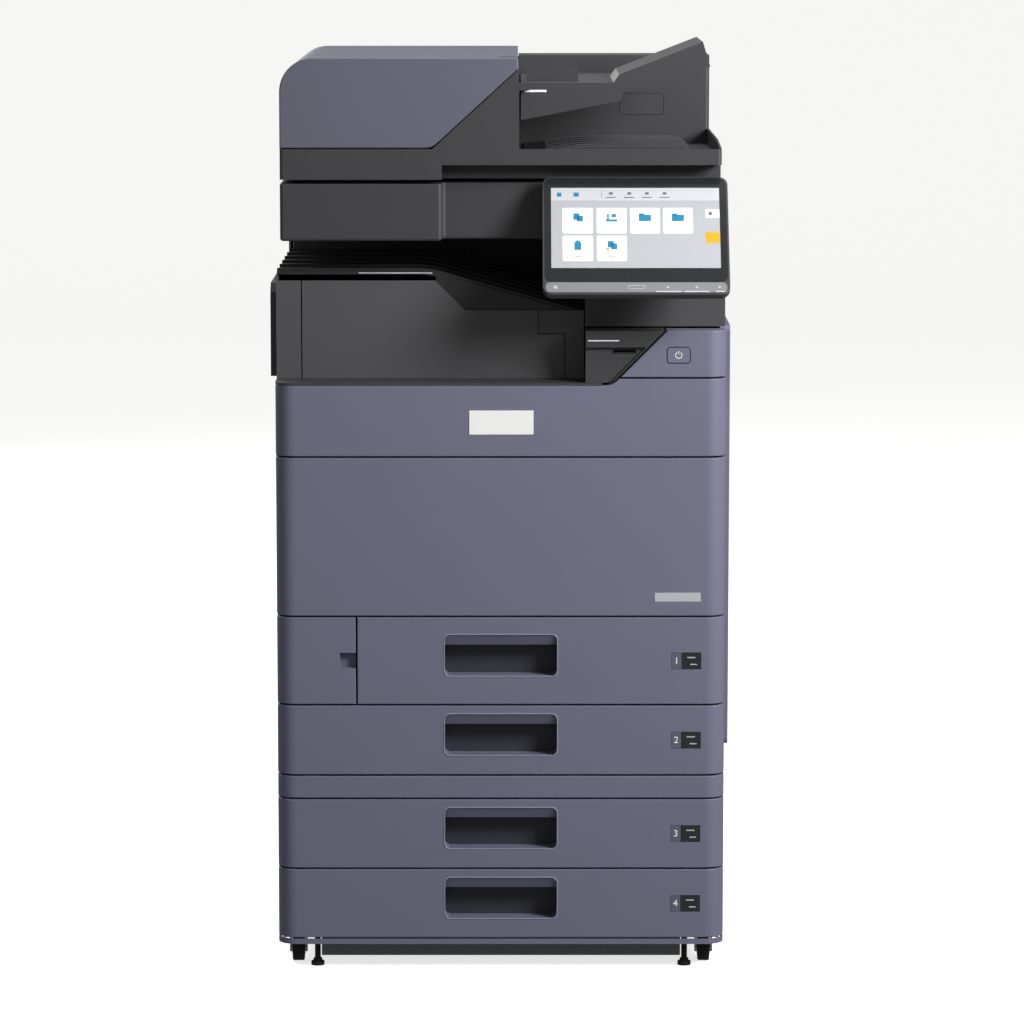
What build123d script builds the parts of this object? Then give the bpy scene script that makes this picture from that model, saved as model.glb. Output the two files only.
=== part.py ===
"""A3 office photocopier with document feeder, tilting touch panel and four paper cassettes.

Millimetres, +Z up, +X to the user's right, the user stands at -Y.
The origin is on the floor under the middle of the machine's bounding box.
"""

from build123d import *
from math import cos, radians, sin, tan
import os

os.makedirs("parts", exist_ok=True)

# ---------------------------------------------------------------- driving sizes
body_width = 602.0
overall_depth = 677.0
panel_overhang = 80.0  # how far the touch panel's lower edge stands out from the body
side_bulge = 8.5  # how far the right door and the left exit cover stand out
wall = 3.0  # moulded cover thickness
seam = 2.2  # visible gap between neighbouring covers
run = 0.2  # gap between separate sheet-metal plates
corner_radius = 25.0  # vertical front corners of the body
edge_round = 1.2  # softened edges of the covers
cover_depth = 39.8  # how far the front covers wrap round the sides
front_door_depth = 28.0  # the front door is shallower, so that its top edge clears the fascia
shaft_gap = 0.3  # radial gap round a shaft or pin

half = body_width / 2
front = -overall_depth / 2 + panel_overhang
back = overall_depth / 2

# front rows, bottom to top
base_height = 44.0
low_row = 96.0
filler_row = 32.0
tall_row = 120.0
door_row = 215.0
fascia_row = 97.0
step_height = 9.0  # the fascia's right end stands this much higher than its left
power_row = 64.0

row_4 = base_height
row_3 = row_4 + low_row
filler = row_3 + low_row
row_2 = filler + filler_row
row_1 = row_2 + low_row
door_bottom = row_1 + tall_row
fascia_bottom = door_bottom + door_row
fascia_top = fascia_bottom + fascia_row
power_bottom = fascia_top + step_height
power_top = power_bottom + power_row
slope_x = half - 154.0  # where the 45 degree edge meets the fascia's left top edge
slope_radius = 24.0  # rounds the fascia into the 45 degree edge

# cassette and waste toner door
split_x = -half + 107.6  # seam between the waste toner door and cassette 1
handle_width = 152.0
handle_height = 57.0
handle_rise = 7.5
handle_depth = 33.0
handle_radius = 8.0
lip_height = 15.0
lip_depth = 8.0
label_x = half - 52.3
label_width = 40.0
label_height = 23.0
label_recess = 1.2
bin_left = -half + 17.0
bin_right = half - 55.0
bin_front = front + cover_depth
rear_room = 111.2  # behind the bins, for the power supply and the drives
bin_wall = 2.5
bin_clear_above = 34.0  # room over a bin for its feed roller
frame_front = front + cover_depth + 4.2
frame_back = back - 14.0
bin_depth = frame_back - rear_room - bin_front
frame_left = -half + 10.0  # inner faces of the steel side plates
frame_right = half - 49.0
plate = 4.0
shelf = 2.0

# in-body space, bridge unit and ledge
trim = 3.0
ledge_depth = 60.0
column_left = half - 188.0
column_front = front + 45.0
inner_back = back - 177.0
tray_rise = 73.0  # the inner tray's high side over the power panel
tray_drop = 58.0  # from that side down to its low side
output_room = 44.0  # from the tray's high side up to the scanner
tray_left_z = power_top + tray_rise
tray_right_z = tray_left_z - tray_drop

# scanner
scanner_height = 76.0
scanner_bottom = tray_left_z + output_room
scanner_top = scanner_bottom + scanner_height
scanner_front = front + 15.0
scanner_back = back - 77.0
scanner_half = half - 8.0
recess_left = half - 379.0  # recess behind the touch panel
recess_front = front + 50.0
glass_frame = 4.0

# document feeder
feeder_gap = 5.5  # shadow gap between the scanner and the feeder
feeder_base_height = 40.5
feeder_cover_height = 120.4
feeder_bottom = scanner_top + feeder_gap
feeder_split = feeder_bottom + feeder_base_height
feeder_top = feeder_split + feeder_cover_height
feeder_back = scanner_back - 14.0
feeder_mouth = half - 276.5
feeder_round = 45.0
table_back = feeder_back - 91.0
table_lip = feeder_split + 0.5
table_high = feeder_split + 7.0
rear_wall_top = feeder_split + 110.0

# right door with the multipurpose tray
door_front = front + 100.0
door_back = back - 117.0
side_door_bottom = row_2 + 24.0
side_door_top = power_top - 3.0

# touch panel
panel_width = 246.0
panel_height = 185.0
panel_thick = 13.0
panel_lean = 37.0  # degrees from upright
panel_x = half - panel_width / 2
panel_foot = scanner_bottom - 62.7  # height of the panel's lower front edge

made = {}


# ---------------------------------------------------------------- helpers
def face_plane(y):
    """A plane that faces the user at depth y: its x runs along X and its y along Z."""
    return Plane(origin=(0, y, 0), x_dir=(1, 0, 0), z_dir=(0, -1, 0))


def side_plane(x):
    """A plane that faces +X: its x runs along Y and its y along Z."""
    return Plane(origin=(x, 0, 0), x_dir=(0, 1, 0), z_dir=(1, 0, 0))


def block(x0, x1, y0, y1, z0, z1, mode=Mode.ADD):
    """A plain box between two corners, inside the current part."""
    with Locations(((x0 + x1) / 2, (y0 + y1) / 2, (z0 + z1) / 2)):
        Box(x1 - x0, y1 - y0, z1 - z0, mode=mode)


def profile(plane, points, amount, mode=Mode.ADD, rounds=()):
    """A polygon on a plane, pushed along its normal. rounds holds (corner, radius) pairs."""
    with BuildSketch(plane) as outline:
        with BuildLine():
            Polyline(*points, close=True)
        make_face()
        for (x, y), radius in rounds:
            fillet(outline.vertices().sort_by_distance((x, y, 0))[0], radius)
    extrude(outline.sketch, amount=amount, mode=mode)


def rod_x(x0, x1, y, z, radius, mode=Mode.ADD):
    """A round bar along X."""
    with BuildSketch(side_plane(x0)) as circle:
        with Locations((y, z)):
            Circle(radius)
    extrude(circle.sketch, amount=x1 - x0, mode=mode)


def rod_y(y0, y1, x, z, radius, mode=Mode.ADD):
    """A round bar along Y."""
    with BuildSketch(face_plane(y0)) as circle:
        with Locations((x, z)):
            Circle(radius)
    extrude(circle.sketch, amount=-(y1 - y0), mode=mode)


def rod_z(z0, z1, x, y, radius, mode=Mode.ADD):
    """A round bar along Z."""
    with BuildSketch(Plane.XY.offset(z0)) as circle:
        with Locations((x, y)):
            Circle(radius)
    extrude(circle.sketch, amount=z1 - z0, mode=mode)


def pocket(plane, x, y, width, height, radius, depth, mode=Mode.SUBTRACT):
    """A round-cornered recess (or boss) behind a plane."""
    with BuildSketch(plane) as outline:
        with Locations((x, y)):
            RectangleRounded(width, height, radius)
    extrude(outline.sketch, amount=-depth, mode=mode)


def front_prism(points, rounds, inset, y0, y1):
    """A front-view outline pushed back from y0 to y1, trimmed to the body's rounded plan."""
    lowest = min(z for _, z in points)
    highest = max(z for _, z in points)
    reach = 200.0
    with BuildPart() as prism:
        with BuildSketch(face_plane(y0)) as outline:
            with BuildLine():
                Polyline(*points, close=True)
            make_face()
            for (x, z), radius in rounds:
                fillet(outline.vertices().sort_by_distance((x, z, 0))[0], radius)
            if inset:
                offset(amount=-inset, kind=Kind.INTERSECTION)
        extrude(amount=-(y1 - y0))
        with BuildSketch(Plane.XY.offset(lowest - 1)) as plan:
            with Locations((0, front + inset + reach / 2)):
                Rectangle(body_width - 2 * inset, reach)
            fillet(plan.vertices().group_by(Axis.Y)[0], corner_radius - inset)
        extrude(amount=highest - lowest + 2, mode=Mode.INTERSECT)
    return prism.part


def is_outer_edge(edge, depth):
    """True for the visible edges of a front cover, where two faces meet at an angle."""
    middle = edge.center()
    along = edge.tangent_at(0.5)
    if middle.Y > front + depth - 0.5:
        return False
    if abs(along.Z) > 0.99:
        return abs(middle.X) < half - corner_radius - 1
    if abs(along.Y) > 0.99:
        return abs(middle.X) > half - 1
    return True


def front_shell(points, rounds=(), depth=cover_depth):
    """A moulded front cover: the outline wrapped round the corners, open at the back."""
    solid = front_prism(points, rounds, 0, front, front + depth)
    hollow = front_prism(points, rounds, wall, front + wall, front + depth + 1)
    with BuildPart() as shell:
        add(solid)
        fillet(shell.edges().filter_by(lambda edge: is_outer_edge(edge, depth)), edge_round)
        add(hollow, mode=Mode.SUBTRACT)
    return shell.part


def row_outline(x0, x1, z0, z1):
    """Corners of one front cover, half a seam inside its row on each joined side."""
    left = x0 if x0 <= -half else x0 + seam / 2
    right = x1 if x1 >= half else x1 - seam / 2
    low, high = z0 + seam / 2, z1 - seam / 2
    return [(left, low), (right, low), (right, high), (left, high)]


def keep(name, part):
    """Labels a finished sub-part and remembers it for writing."""
    part.label = name
    made[name] = part


# ---------------------------------------------------------------- cassettes
paper_middle = bin_front + bin_depth / 2
paper_width = 297.0
guide_gap = 1.0
guide_thick = 5.0
guide_right = bin_right - 96.0
guide_left = guide_right - 130.0
end_guide_offset = 22.0
bin_rise = 6.0  # a bin's floor stands this far over the bottom of its row
paper_front = paper_middle - paper_width / 2
paper_back = paper_middle + paper_width / 2
lift_length = 210.0
lift_right = bin_right - 14
lift_left = lift_right - lift_length
lift_pin = 3.0
lift_sheet = 1.5
lift_axis = bin_rise + bin_wall + lift_pin + 0.5  # hinge height over the bottom of the row


def cassette_panel(z0, z1, x0):
    """Front cover of a cassette, with its finger pocket, sloped lip and label recess."""
    middle = (z0 + z1) / 2
    pocket_z = middle + handle_rise
    pocket_top = pocket_z + handle_height / 2
    shell = front_shell(row_outline(x0, half, z0, z1))
    lip = [
        (front, pocket_top),
        (front + lip_depth, pocket_top - lip_height),
        (front + lip_depth + wall, pocket_top - lip_height),
        (front + wall, pocket_top),
    ]
    with BuildPart() as panel:
        add(shell)
        pocket(
            face_plane(front + wall / 2),
            0,
            pocket_z,
            handle_width + 2 * wall,
            handle_height + 2 * wall,
            handle_radius,
            handle_depth + wall / 2,
            Mode.ADD,
        )
        pocket(face_plane(front), 0, pocket_z, handle_width, handle_height, handle_radius, handle_depth)
        profile(side_plane(-handle_width / 2), lip, handle_width)
        block(
            label_x - label_width / 2,
            label_x + label_width / 2,
            front - 1,
            front + label_recess,
            middle - label_height / 2,
            middle + label_height / 2,
            Mode.SUBTRACT,
        )
    return panel.part


def cassette_bin(z0, z1, x0):
    """Open paper bin behind a cassette panel, with its side and end guides."""
    low, high = z0 + bin_rise, z1 - bin_clear_above
    floor = low + bin_wall
    end_x = x0 + end_guide_offset
    with BuildPart() as tray:
        block(x0, bin_right, bin_front, bin_front + bin_depth, low, high)
        block(
            x0 + bin_wall,
            bin_right - bin_wall,
            bin_front + bin_wall,
            bin_front + bin_depth - bin_wall,
            floor,
            high + 1,
            Mode.SUBTRACT,
        )
        for y in (paper_front - guide_gap - guide_thick, paper_back + guide_gap):
            block(guide_left, guide_right, y, y + guide_thick, floor - 1, high - 2)
        block(end_x, end_x + guide_thick, paper_middle - 40, paper_middle + 40, floor - 1, high - 2)
    return tray.part


def lift_plate(z0):
    """Sprung floor plate that lifts the paper's leading edge, with its hinge rod."""
    z = z0 + lift_axis
    with BuildPart() as lifter:
        block(
            lift_left, lift_right, paper_front + 4, paper_back - 4, z - lift_sheet / 2, z + lift_sheet / 2
        )
        rod_y(paper_front + 4, paper_back - 4, lift_left, z, lift_pin)
    return lifter.part


cassettes = [
    (1, row_1, door_bottom, split_x, split_x + 6),
    (2, row_2, row_1, -half, bin_left),
    (3, row_3, filler, -half, bin_left),
    (4, row_4, row_3, -half, bin_left),
]
for number, z0, z1, panel_left, bin_x in cassettes:
    keep(f"cassette_{number}_panel", cassette_panel(z0, z1, panel_left))
    keep(f"cassette_{number}_bin", cassette_bin(z0, z1, bin_x))
    keep(f"cassette_{number}_lift_plate", lift_plate(z0))

# ---------------------------------------------------------------- base, casters and feet
skirt_low = base_height - 8.0  # lower edge of the front strip and of the side covers
pan_top = base_height - 0.6
pan_low = pan_top - 2.4
pan_half = half - wall - 3
band_half = half - 58.0
band_front = front + 20
band_back = back - 34
band_low = 16.0
wheel_radius = 18.0
wheel_width = 16.0
axle_radius = 3.0
caster_x = half - 25.0
caster_inset = cover_depth + 12.2
trail = 8.0
kingpin_radius = 5.0
fork_top = pan_low - 0.6
foot_x = half - 52.0
foot_inset = 34.0
foot_radius = 9.0
stem_radius = 4.0
casters = [
    (1, -caster_x, front + caster_inset),
    (2, caster_x, front + caster_inset),
    (3, -caster_x, back - caster_inset - trail),
    (4, caster_x, back - caster_inset - trail),
]
feet = [(x, y) for y in (front + foot_inset, back - foot_inset - trail) for x in (-foot_x, foot_x)]

with BuildPart() as base_pan:
    block(-pan_half, pan_half, band_front, back - 14, pan_low, pan_top)
    block(-band_half, band_half, band_front, band_back, band_low, pan_low)
    block(-band_half + 2, band_half - 2, band_front + 2, band_back - 2, band_low - 1, pan_low, Mode.SUBTRACT)
    for _, x, y in casters:
        rod_z(pan_low - 1, pan_top + 1, x, y, kingpin_radius + shaft_gap, Mode.SUBTRACT)
keep("base_pan", base_pan.part)


def caster_fork(x, y):
    """Swivel fork: a disc and kingpin over two cheeks that hold the axle."""
    axle_y = y + trail
    cheek_in = wheel_width / 2 + 1
    with BuildPart() as fork:
        rod_z(fork_top - 2.4, fork_top, x, y, 14)
        block(x - cheek_in - 3, x + cheek_in + 3, y - 4, axle_y + 4, fork_top - 2.4, fork_top)
        rod_z(fork_top, pan_top + 0.4, x, y, kingpin_radius)
        rod_z(pan_top + 0.4, pan_top + 2.4, x, y, kingpin_radius + 3)
        for left in (x - cheek_in - 3, x + cheek_in):
            block(left, left + 3, axle_y - 5, axle_y + 4, wheel_radius, fork_top - 2)
            rod_x(left, left + 3, axle_y, wheel_radius, 6)
        rod_x(x - cheek_in, x + cheek_in, axle_y, wheel_radius, axle_radius)
    return fork.part


def caster_wheel(x, y):
    """Caster wheel with rounded tread edges, bored for its axle."""
    with BuildPart() as wheel:
        rod_x(x - wheel_width / 2, x + wheel_width / 2, y + trail, wheel_radius, wheel_radius)
        fillet(wheel.edges().filter_by(GeomType.CIRCLE), 2)
        bore = axle_radius + shaft_gap
        rod_x(x - wheel_width, x + wheel_width, y + trail, wheel_radius, bore, Mode.SUBTRACT)
    return wheel.part


for number, x, y in casters:
    keep(f"caster_fork_{number}", caster_fork(x, y))
    keep(f"caster_wheel_{number}", caster_wheel(x, y))

with BuildPart() as leveling_feet:
    for x, y in feet:
        rod_z(0, 5, x, y, foot_radius)
        rod_z(5, 9, x, y, stem_radius + 2)
        rod_z(9, pan_low, x, y, stem_radius)
keep("leveling_feet", leveling_feet.part)

skirt_points = [
    (-half, skirt_low),
    (half, skirt_low),
    (half, base_height - seam / 2),
    (-half, base_height - seam / 2),
]
skirt = front_prism(skirt_points, (), 0, front, front + cover_depth)
skirt_reach = [(x, z + (9 if z > skirt_low else -9)) for x, z in skirt_points]
skirt_hollow = front_prism(skirt_reach, (), wall, front + wall, front + cover_depth + 1)
filler_strip = front_shell(row_outline(-half, half, filler, row_2))
with BuildPart() as trim_strips:
    add(skirt)
    add(skirt_hollow, mode=Mode.SUBTRACT)
    add(filler_strip)
keep("trim_strips", trim_strips.part)


# ---------------------------------------------------------------- front doors and fascia
notch = 21.0
notch_z = row_1 + 60.5
notch_depth = 12.0
waste_hinge = (-half + 5, front + cover_depth - 6)
door_hinge = (front + 4, door_bottom + seam / 2 + 5)
hinge_radius = 2.5
hinge_length = 40.0
button_x = half - 64.4
button_z = power_bottom + 30.7
button_width = 29.5
button_height = 20.0
button_gap = 0.4
button_travel = 1.5
button_proud = 0.3
button_corner = 4.0
button_stem = 16.4
flange_y = front + wall + 0.6  # front of the flange that holds the button in
button_flange = 2.0

door_shell = front_shell(row_outline(-half, half, door_bottom, fascia_bottom), depth=front_door_depth)
with BuildPart() as front_door:
    add(door_shell)
    for x in (-half + 2 * hinge_length, half - 3 * hinge_length):
        rod_x(x, x + hinge_length, *door_hinge, hinge_radius)
keep("front_door", front_door.part)

waste_shell = front_shell(row_outline(-half, split_x, row_1, door_bottom))
waste_edge = split_x - seam / 2
with BuildPart() as waste_door:
    add(waste_shell)
    rod_z(row_1 + seam, door_bottom - seam, *waste_hinge, hinge_radius)
    block(
        waste_edge - notch - wall,
        waste_edge - 1,
        front + 1,
        front + notch_depth + wall,
        notch_z - notch / 2 - wall,
        notch_z + notch / 2 + wall,
    )
    block(
        waste_edge - notch,
        waste_edge + 1,
        front - 1,
        front + notch_depth,
        notch_z - notch / 2,
        notch_z + notch / 2,
        Mode.SUBTRACT,
    )
keep("waste_door", waste_door.part)

fascia_edge = fascia_top - seam / 2
step_edge = power_bottom - seam / 2
slope_foot = (slope_x + seam / 2, fascia_edge)
fascia_points = [
    (-half, fascia_bottom + seam / 2),
    (half, fascia_bottom + seam / 2),
    (half, step_edge),
    (slope_x + step_edge - fascia_top + seam, step_edge),
    slope_foot,
    (-half, fascia_edge),
]
keep("upper_fascia", front_shell(fascia_points, rounds=[(slope_foot, slope_radius)]))

power_low = power_bottom + seam / 2
power_high = power_top - seam / 2
slope_head = slope_x + power_high - fascia_top + seam
power_points = [
    (slope_x + power_low - fascia_top + seam, power_low),
    (half, power_low),
    (half, power_high),
    (slope_head, power_high),
]
power_shell = front_shell(power_points)
with BuildPart() as power_panel:
    add(power_shell)
    pocket(
        face_plane(front),
        button_x,
        button_z,
        button_width + 2 * button_gap,
        button_height + 2 * button_gap,
        button_corner + button_gap,
        wall + 1,
    )
keep("power_panel", power_panel.part)

with BuildPart() as power_button:
    pocket(
        face_plane(front - button_proud),
        button_x,
        button_z,
        button_width,
        button_height,
        button_corner,
        flange_y - front + button_proud,
        Mode.ADD,
    )
    pocket(
        face_plane(flange_y),
        button_x,
        button_z,
        button_width + 2 * button_flange,
        button_height + 2 * button_flange,
        button_corner,
        button_flange,
        Mode.ADD,
    )
    rod_y(flange_y + button_flange, flange_y + button_stem, button_x, button_z, button_corner)
keep("power_button", power_button.part)

# ---------------------------------------------------------------- USB block, ledge and column
ledge_low = fascia_edge + run
ledge_high = ledge_low + trim
usb_low = ledge_high + run
slot_x = column_left + 51.5
slot_width = 31.0
slot_height = 5.0
slot_z = usb_low + 42.2
slot_depth = 14.0
usb_depth = column_front - front - 1
usb_step_z = usb_low + 47.7
usb_step = 6.0
ridge = 3.2  # dark ridge between the violet slope and the USB block


def slope_at(z, away):
    """X of the 45 degree edge at a height, moved away from the violet cover."""
    return slope_x + z - fascia_top - away


ledge_end = slope_x - slope_radius * tan(radians(22.5)) - 1.6
ledge_points = [(-half, ledge_low), (ledge_end, ledge_low), (ledge_end, ledge_high), (-half, ledge_high)]
ledge_body = front_prism(ledge_points, (), 0, front, front + ledge_depth)
with BuildPart() as ledge_cover:
    add(ledge_body)
keep("ledge_cover", ledge_cover.part)

usb_points = [
    (column_left, usb_low),
    (slope_at(usb_low, 1), usb_low),
    (slope_at(power_high, 1), power_high),
    (column_left, power_high),
]
step_points = [
    (column_left - 1, usb_low - 1),
    (slope_at(usb_low - 1, ridge), usb_low - 1),
    (slope_at(usb_step_z, ridge), usb_step_z),
    (column_left - 1, usb_step_z),
]
with BuildPart() as usb_block:
    profile(face_plane(front), usb_points, -usb_depth, rounds=[(usb_points[1], slope_radius - trim)])
    profile(
        face_plane(front),
        step_points,
        -usb_step,
        Mode.SUBTRACT,
        rounds=[(step_points[1], slope_radius - trim - ridge)],
    )
    block(
        slot_x - slot_width / 2,
        slot_x + slot_width / 2,
        front - 1,
        front + usb_step + slot_depth,
        slot_z - slot_height / 2,
        slot_z + slot_height / 2,
        Mode.SUBTRACT,
    )
keep("usb_block", usb_block.part)

column_low = power_top + 1
column_right = half - 1
column_back = inner_back - run
column_top = scanner_bottom - 0.3
exit_low = column_low + 30
exit_high = exit_low + 40
hinge_y = front - panel_overhang + 73.1
hinge_z = panel_foot + 38.9
knuckle_radius = 9.0
knuckle_pin = 4.0
bracket_half = 28.0
arm_out = 48.0

with BuildPart() as column_cover:
    block(column_left, column_right, column_front, column_back, column_low, column_top)
    block(
        column_left + wall,
        column_right - wall,
        column_front + wall,
        column_back - wall,
        column_low - 1,
        column_top - wall,
        Mode.SUBTRACT,
    )
    block(
        column_left - 1,
        column_left + wall + 1,
        front + 90,
        inner_back - 20,
        exit_low,
        exit_high,
        Mode.SUBTRACT,
    )
    for side in (-1, 1):
        near = panel_x + side * (bracket_half + 0.5)
        far = panel_x + side * arm_out
        left, right = min(near, far), max(near, far)
        block(left, right, hinge_y, column_front + 1, hinge_z - knuckle_radius, hinge_z + knuckle_radius)
        rod_x(left, right, hinge_y, hinge_z, knuckle_radius)
    rod_x(panel_x - bracket_half - 1, panel_x + bracket_half + 1, hinge_y, hinge_z, knuckle_pin)
keep("column_cover", column_cover.part)

# ---------------------------------------------------------------- touch panel
glass_thick = 1.2
chin = 19.0
bezel = 2.5
tilt = Plane(
    origin=(panel_x, front - panel_overhang, panel_foot),
    x_dir=(1, 0, 0),
    z_dir=(0, -cos(radians(panel_lean)), sin(radians(panel_lean))),
)


def behind_panel(rise, depth):
    """(Y, Z) of a point that far up the panel's face and that far behind it."""
    lean = radians(panel_lean)
    y = front - panel_overhang + rise * sin(lean) + depth * cos(lean)
    z = panel_foot + rise * cos(lean) - depth * sin(lean)
    return y, z


glass_height = panel_height - chin - bezel
glass_middle = chin + glass_height / 2
with BuildPart() as panel_housing:
    pocket(tilt, 0, panel_height / 2, panel_width, panel_height, 13, panel_thick, Mode.ADD)
    facing = Axis(tilt.origin, tilt.z_dir)
    fillet(panel_housing.faces().sort_by(facing)[-1].edges(), 1)
    fillet(panel_housing.faces().sort_by(facing)[0].edges(), 4)
    pocket(tilt, 0, glass_middle, panel_width - 2 * bezel, glass_height, 10.5, glass_thick)
    arm = [
        behind_panel(48, panel_thick - 1),
        behind_panel(102, panel_thick - 1),
        (hinge_y + 3, hinge_z + knuckle_radius - 1),
        (hinge_y + 3, hinge_z - knuckle_radius + 1),
    ]
    profile(side_plane(panel_x - bracket_half), arm, 2 * bracket_half)
    rod_x(panel_x - bracket_half, panel_x + bracket_half, hinge_y, hinge_z, knuckle_radius)
    rod_x(
        panel_x - bracket_half - 1,
        panel_x + bracket_half + 1,
        hinge_y,
        hinge_z,
        knuckle_pin + shaft_gap,
        Mode.SUBTRACT,
    )
keep("panel_housing", panel_housing.part)

with BuildPart() as panel_glass:
    pocket(
        tilt,
        0,
        glass_middle,
        panel_width - 2 * bezel - 0.2,
        glass_height - 0.2,
        10.4,
        glass_thick,
        Mode.ADD,
    )
keep("panel_glass", panel_glass.part)

# ---------------------------------------------------------------- bridge unit and inner tray
bridge_front = front + ledge_depth
bridge_low = ledge_high + run
bridge_wall = 3.0
bridge_right = column_left - 1.6
end_seam = -half + 34.0
flap_seam = column_left - 27.3
flap_low = bridge_low + 59.4
flap_notch = 36.0
tray_sheet = 4.0
tray_flat_end = column_left - 208.0
tray_front = bridge_front + bridge_wall + 0.5
tray_back = inner_back - 1
rib_count = 6
rib_width = 3.0
rib_height = 4.0
shoulder = tray_flat_end + 7.0
half_joint = 0.8  # half the narrow joint between the bridge unit's covers
bridge_top = tray_left_z - 12
cut_low = tray_right_z + 6


def bridge_piece(points):
    """One front piece of the bridge unit, given by its outline."""
    profile(face_plane(bridge_front), points, -bridge_wall)


end_wall_top = tray_left_z - tray_sheet - 1
with BuildPart() as bridge_covers:
    bridge_piece(
        [
            (-half, bridge_low),
            (end_seam - half_joint, bridge_low),
            (end_seam - half_joint, bridge_top),
            (-half, bridge_top),
        ]
    )
    block(-half, -half + bridge_wall, bridge_front, tray_back, bridge_low, end_wall_top)
    bridge_piece(
        [
            (end_seam + half_joint, bridge_low),
            (flap_seam - half_joint, bridge_low),
            (flap_seam - half_joint, flap_low),
            (flap_seam - flap_notch, flap_low),
            (flap_seam - flap_notch, cut_low),
            (shoulder + bridge_top - cut_low, cut_low),
            (shoulder, bridge_top),
            (end_seam + half_joint, bridge_top),
        ]
    )
    bridge_piece(
        [
            (flap_seam + half_joint, bridge_low),
            (bridge_right, bridge_low),
            (bridge_right, cut_low),
            (flap_seam - flap_notch + 2 * half_joint, cut_low),
            (flap_seam - flap_notch + 2 * half_joint, flap_low + 2 * half_joint),
            (flap_seam + half_joint, flap_low + 2 * half_joint),
        ]
    )
keep("bridge_covers", bridge_covers.part)

tray_slope = [
    (-half + 1, tray_left_z),
    (tray_flat_end, tray_left_z),
    (bridge_right, tray_right_z),
    (bridge_right, tray_right_z - tray_sheet),
    (tray_flat_end, tray_left_z - tray_sheet),
    (-half + 1, tray_left_z - tray_sheet),
]
tray_rounds = [((tray_flat_end, tray_left_z), 150), ((tray_flat_end, tray_left_z - tray_sheet), 150)]
rib_rise = [(x, z + (rib_height if place < 3 else 1)) for place, (x, z) in enumerate(tray_slope)]
apron = [
    (tray_flat_end + 8, tray_left_z - tray_sheet),
    (bridge_right, tray_right_z - 1),
    (bridge_right, bridge_low),
    (tray_flat_end + 8, bridge_low),
]
with BuildPart() as inner_tray:
    profile(face_plane(tray_front), tray_slope, -(tray_back - tray_front), rounds=tray_rounds)
    for rib in range(rib_count):
        y = tray_front + 6 + rib * (tray_back - tray_front - 12 - rib_width) / (rib_count - 1)
        profile(
            face_plane(y),
            rib_rise,
            -rib_width,
            rounds=[((x, z + (rib_height if z == tray_left_z else 1)), 150) for (x, z), _ in tray_rounds],
        )
    profile(face_plane(tray_front), apron, -bridge_wall)
keep("inner_tray", inner_tray.part)

body_top = scanner_bottom - run
with BuildPart() as rear_wall:
    block(-half + wall + 4, half - wall - 4, inner_back, inner_back + wall, ledge_high, body_top)
keep("rear_wall", rear_wall.part)

# ---------------------------------------------------------------- scanner
scanner_wall = 3.0
feeder_half = scanner_half
glass_right = scanner_half - 68.0
glass_left = -glass_right
glass_front = front + 110
glass_back = scanner_back - 90
slit_right = glass_left - 13.0
slit_left = slit_right - 26.0
rail_y = (glass_front + glass_back) / 2
rail_z = scanner_bottom + 22.0
rail_radius = 5.0
feeder_hinge_y = feeder_back + 7.5
feeder_hinge_z = feeder_bottom + 12.5
lug_radius = 6.0
feeder_pin = 3.0
hinge_x = feeder_half - 93.0
post_width = 14.0
feeder_lug = 4.0
glass_rest = 4.0  # how far the frame under the glass reaches in

with BuildPart() as scanner_housing:
    block(-scanner_half, scanner_half, recess_front, scanner_back, scanner_bottom, scanner_top)
    block(-scanner_half, recess_left, scanner_front, recess_front + 1, scanner_bottom, scanner_top)
    fillet(scanner_housing.edges().filter_by(Axis.Z), 5)
    fillet(scanner_housing.faces().sort_by(Axis.Z)[0].edges(), 4)
    fillet(scanner_housing.faces().sort_by(Axis.Z)[-1].edges(), 1)
    block(
        -scanner_half + scanner_wall,
        scanner_half - scanner_wall,
        recess_front + scanner_wall,
        scanner_back - scanner_wall,
        scanner_bottom + scanner_wall,
        scanner_top - scanner_wall,
        Mode.SUBTRACT,
    )
    block(
        -scanner_half + scanner_wall,
        recess_left - scanner_wall,
        scanner_front + scanner_wall,
        recess_front + scanner_wall + 1,
        scanner_bottom + scanner_wall,
        scanner_top - scanner_wall,
        Mode.SUBTRACT,
    )
    for left, right in ((glass_left, glass_right), (slit_left, slit_right)):
        block(
            left - 8,
            right + 8,
            glass_front - 8,
            glass_back + 8,
            scanner_top - scanner_wall - 3,
            scanner_top - scanner_wall,
        )
        block(
            left - 0.2,
            right + 0.2,
            glass_front - 0.2,
            glass_back + 0.2,
            scanner_top - glass_frame,
            scanner_top + 1,
            Mode.SUBTRACT,
        )
        block(
            left + 4,
            right - 4,
            glass_front + 4,
            glass_back - 4,
            scanner_top - scanner_wall - 4,
            scanner_top,
            Mode.SUBTRACT,
        )
    rod_x(-scanner_half + 1, scanner_half - 1, rail_y, rail_z, rail_radius)
    for side in (-1, 1):
        x = side * hinge_x
        block(
            x - post_width / 2,
            x + post_width / 2,
            feeder_hinge_y - lug_radius,
            feeder_hinge_y + lug_radius,
            scanner_top - 1,
            feeder_hinge_z,
        )
        rod_x(x - post_width / 2, x + post_width / 2, feeder_hinge_y, feeder_hinge_z, lug_radius)
        reach = post_width / 2 + 2 * feeder_lug + 4
        rod_x(x - reach, x + reach, feeder_hinge_y, feeder_hinge_z, feeder_pin)
keep("scanner_housing", scanner_housing.part)

with BuildPart() as platen_glass:
    for left, right in ((glass_left, glass_right), (slit_left, slit_right)):
        block(left, right, glass_front, glass_back, scanner_top - glass_frame, scanner_top)
keep("platen_glass", platen_glass.part)

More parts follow.
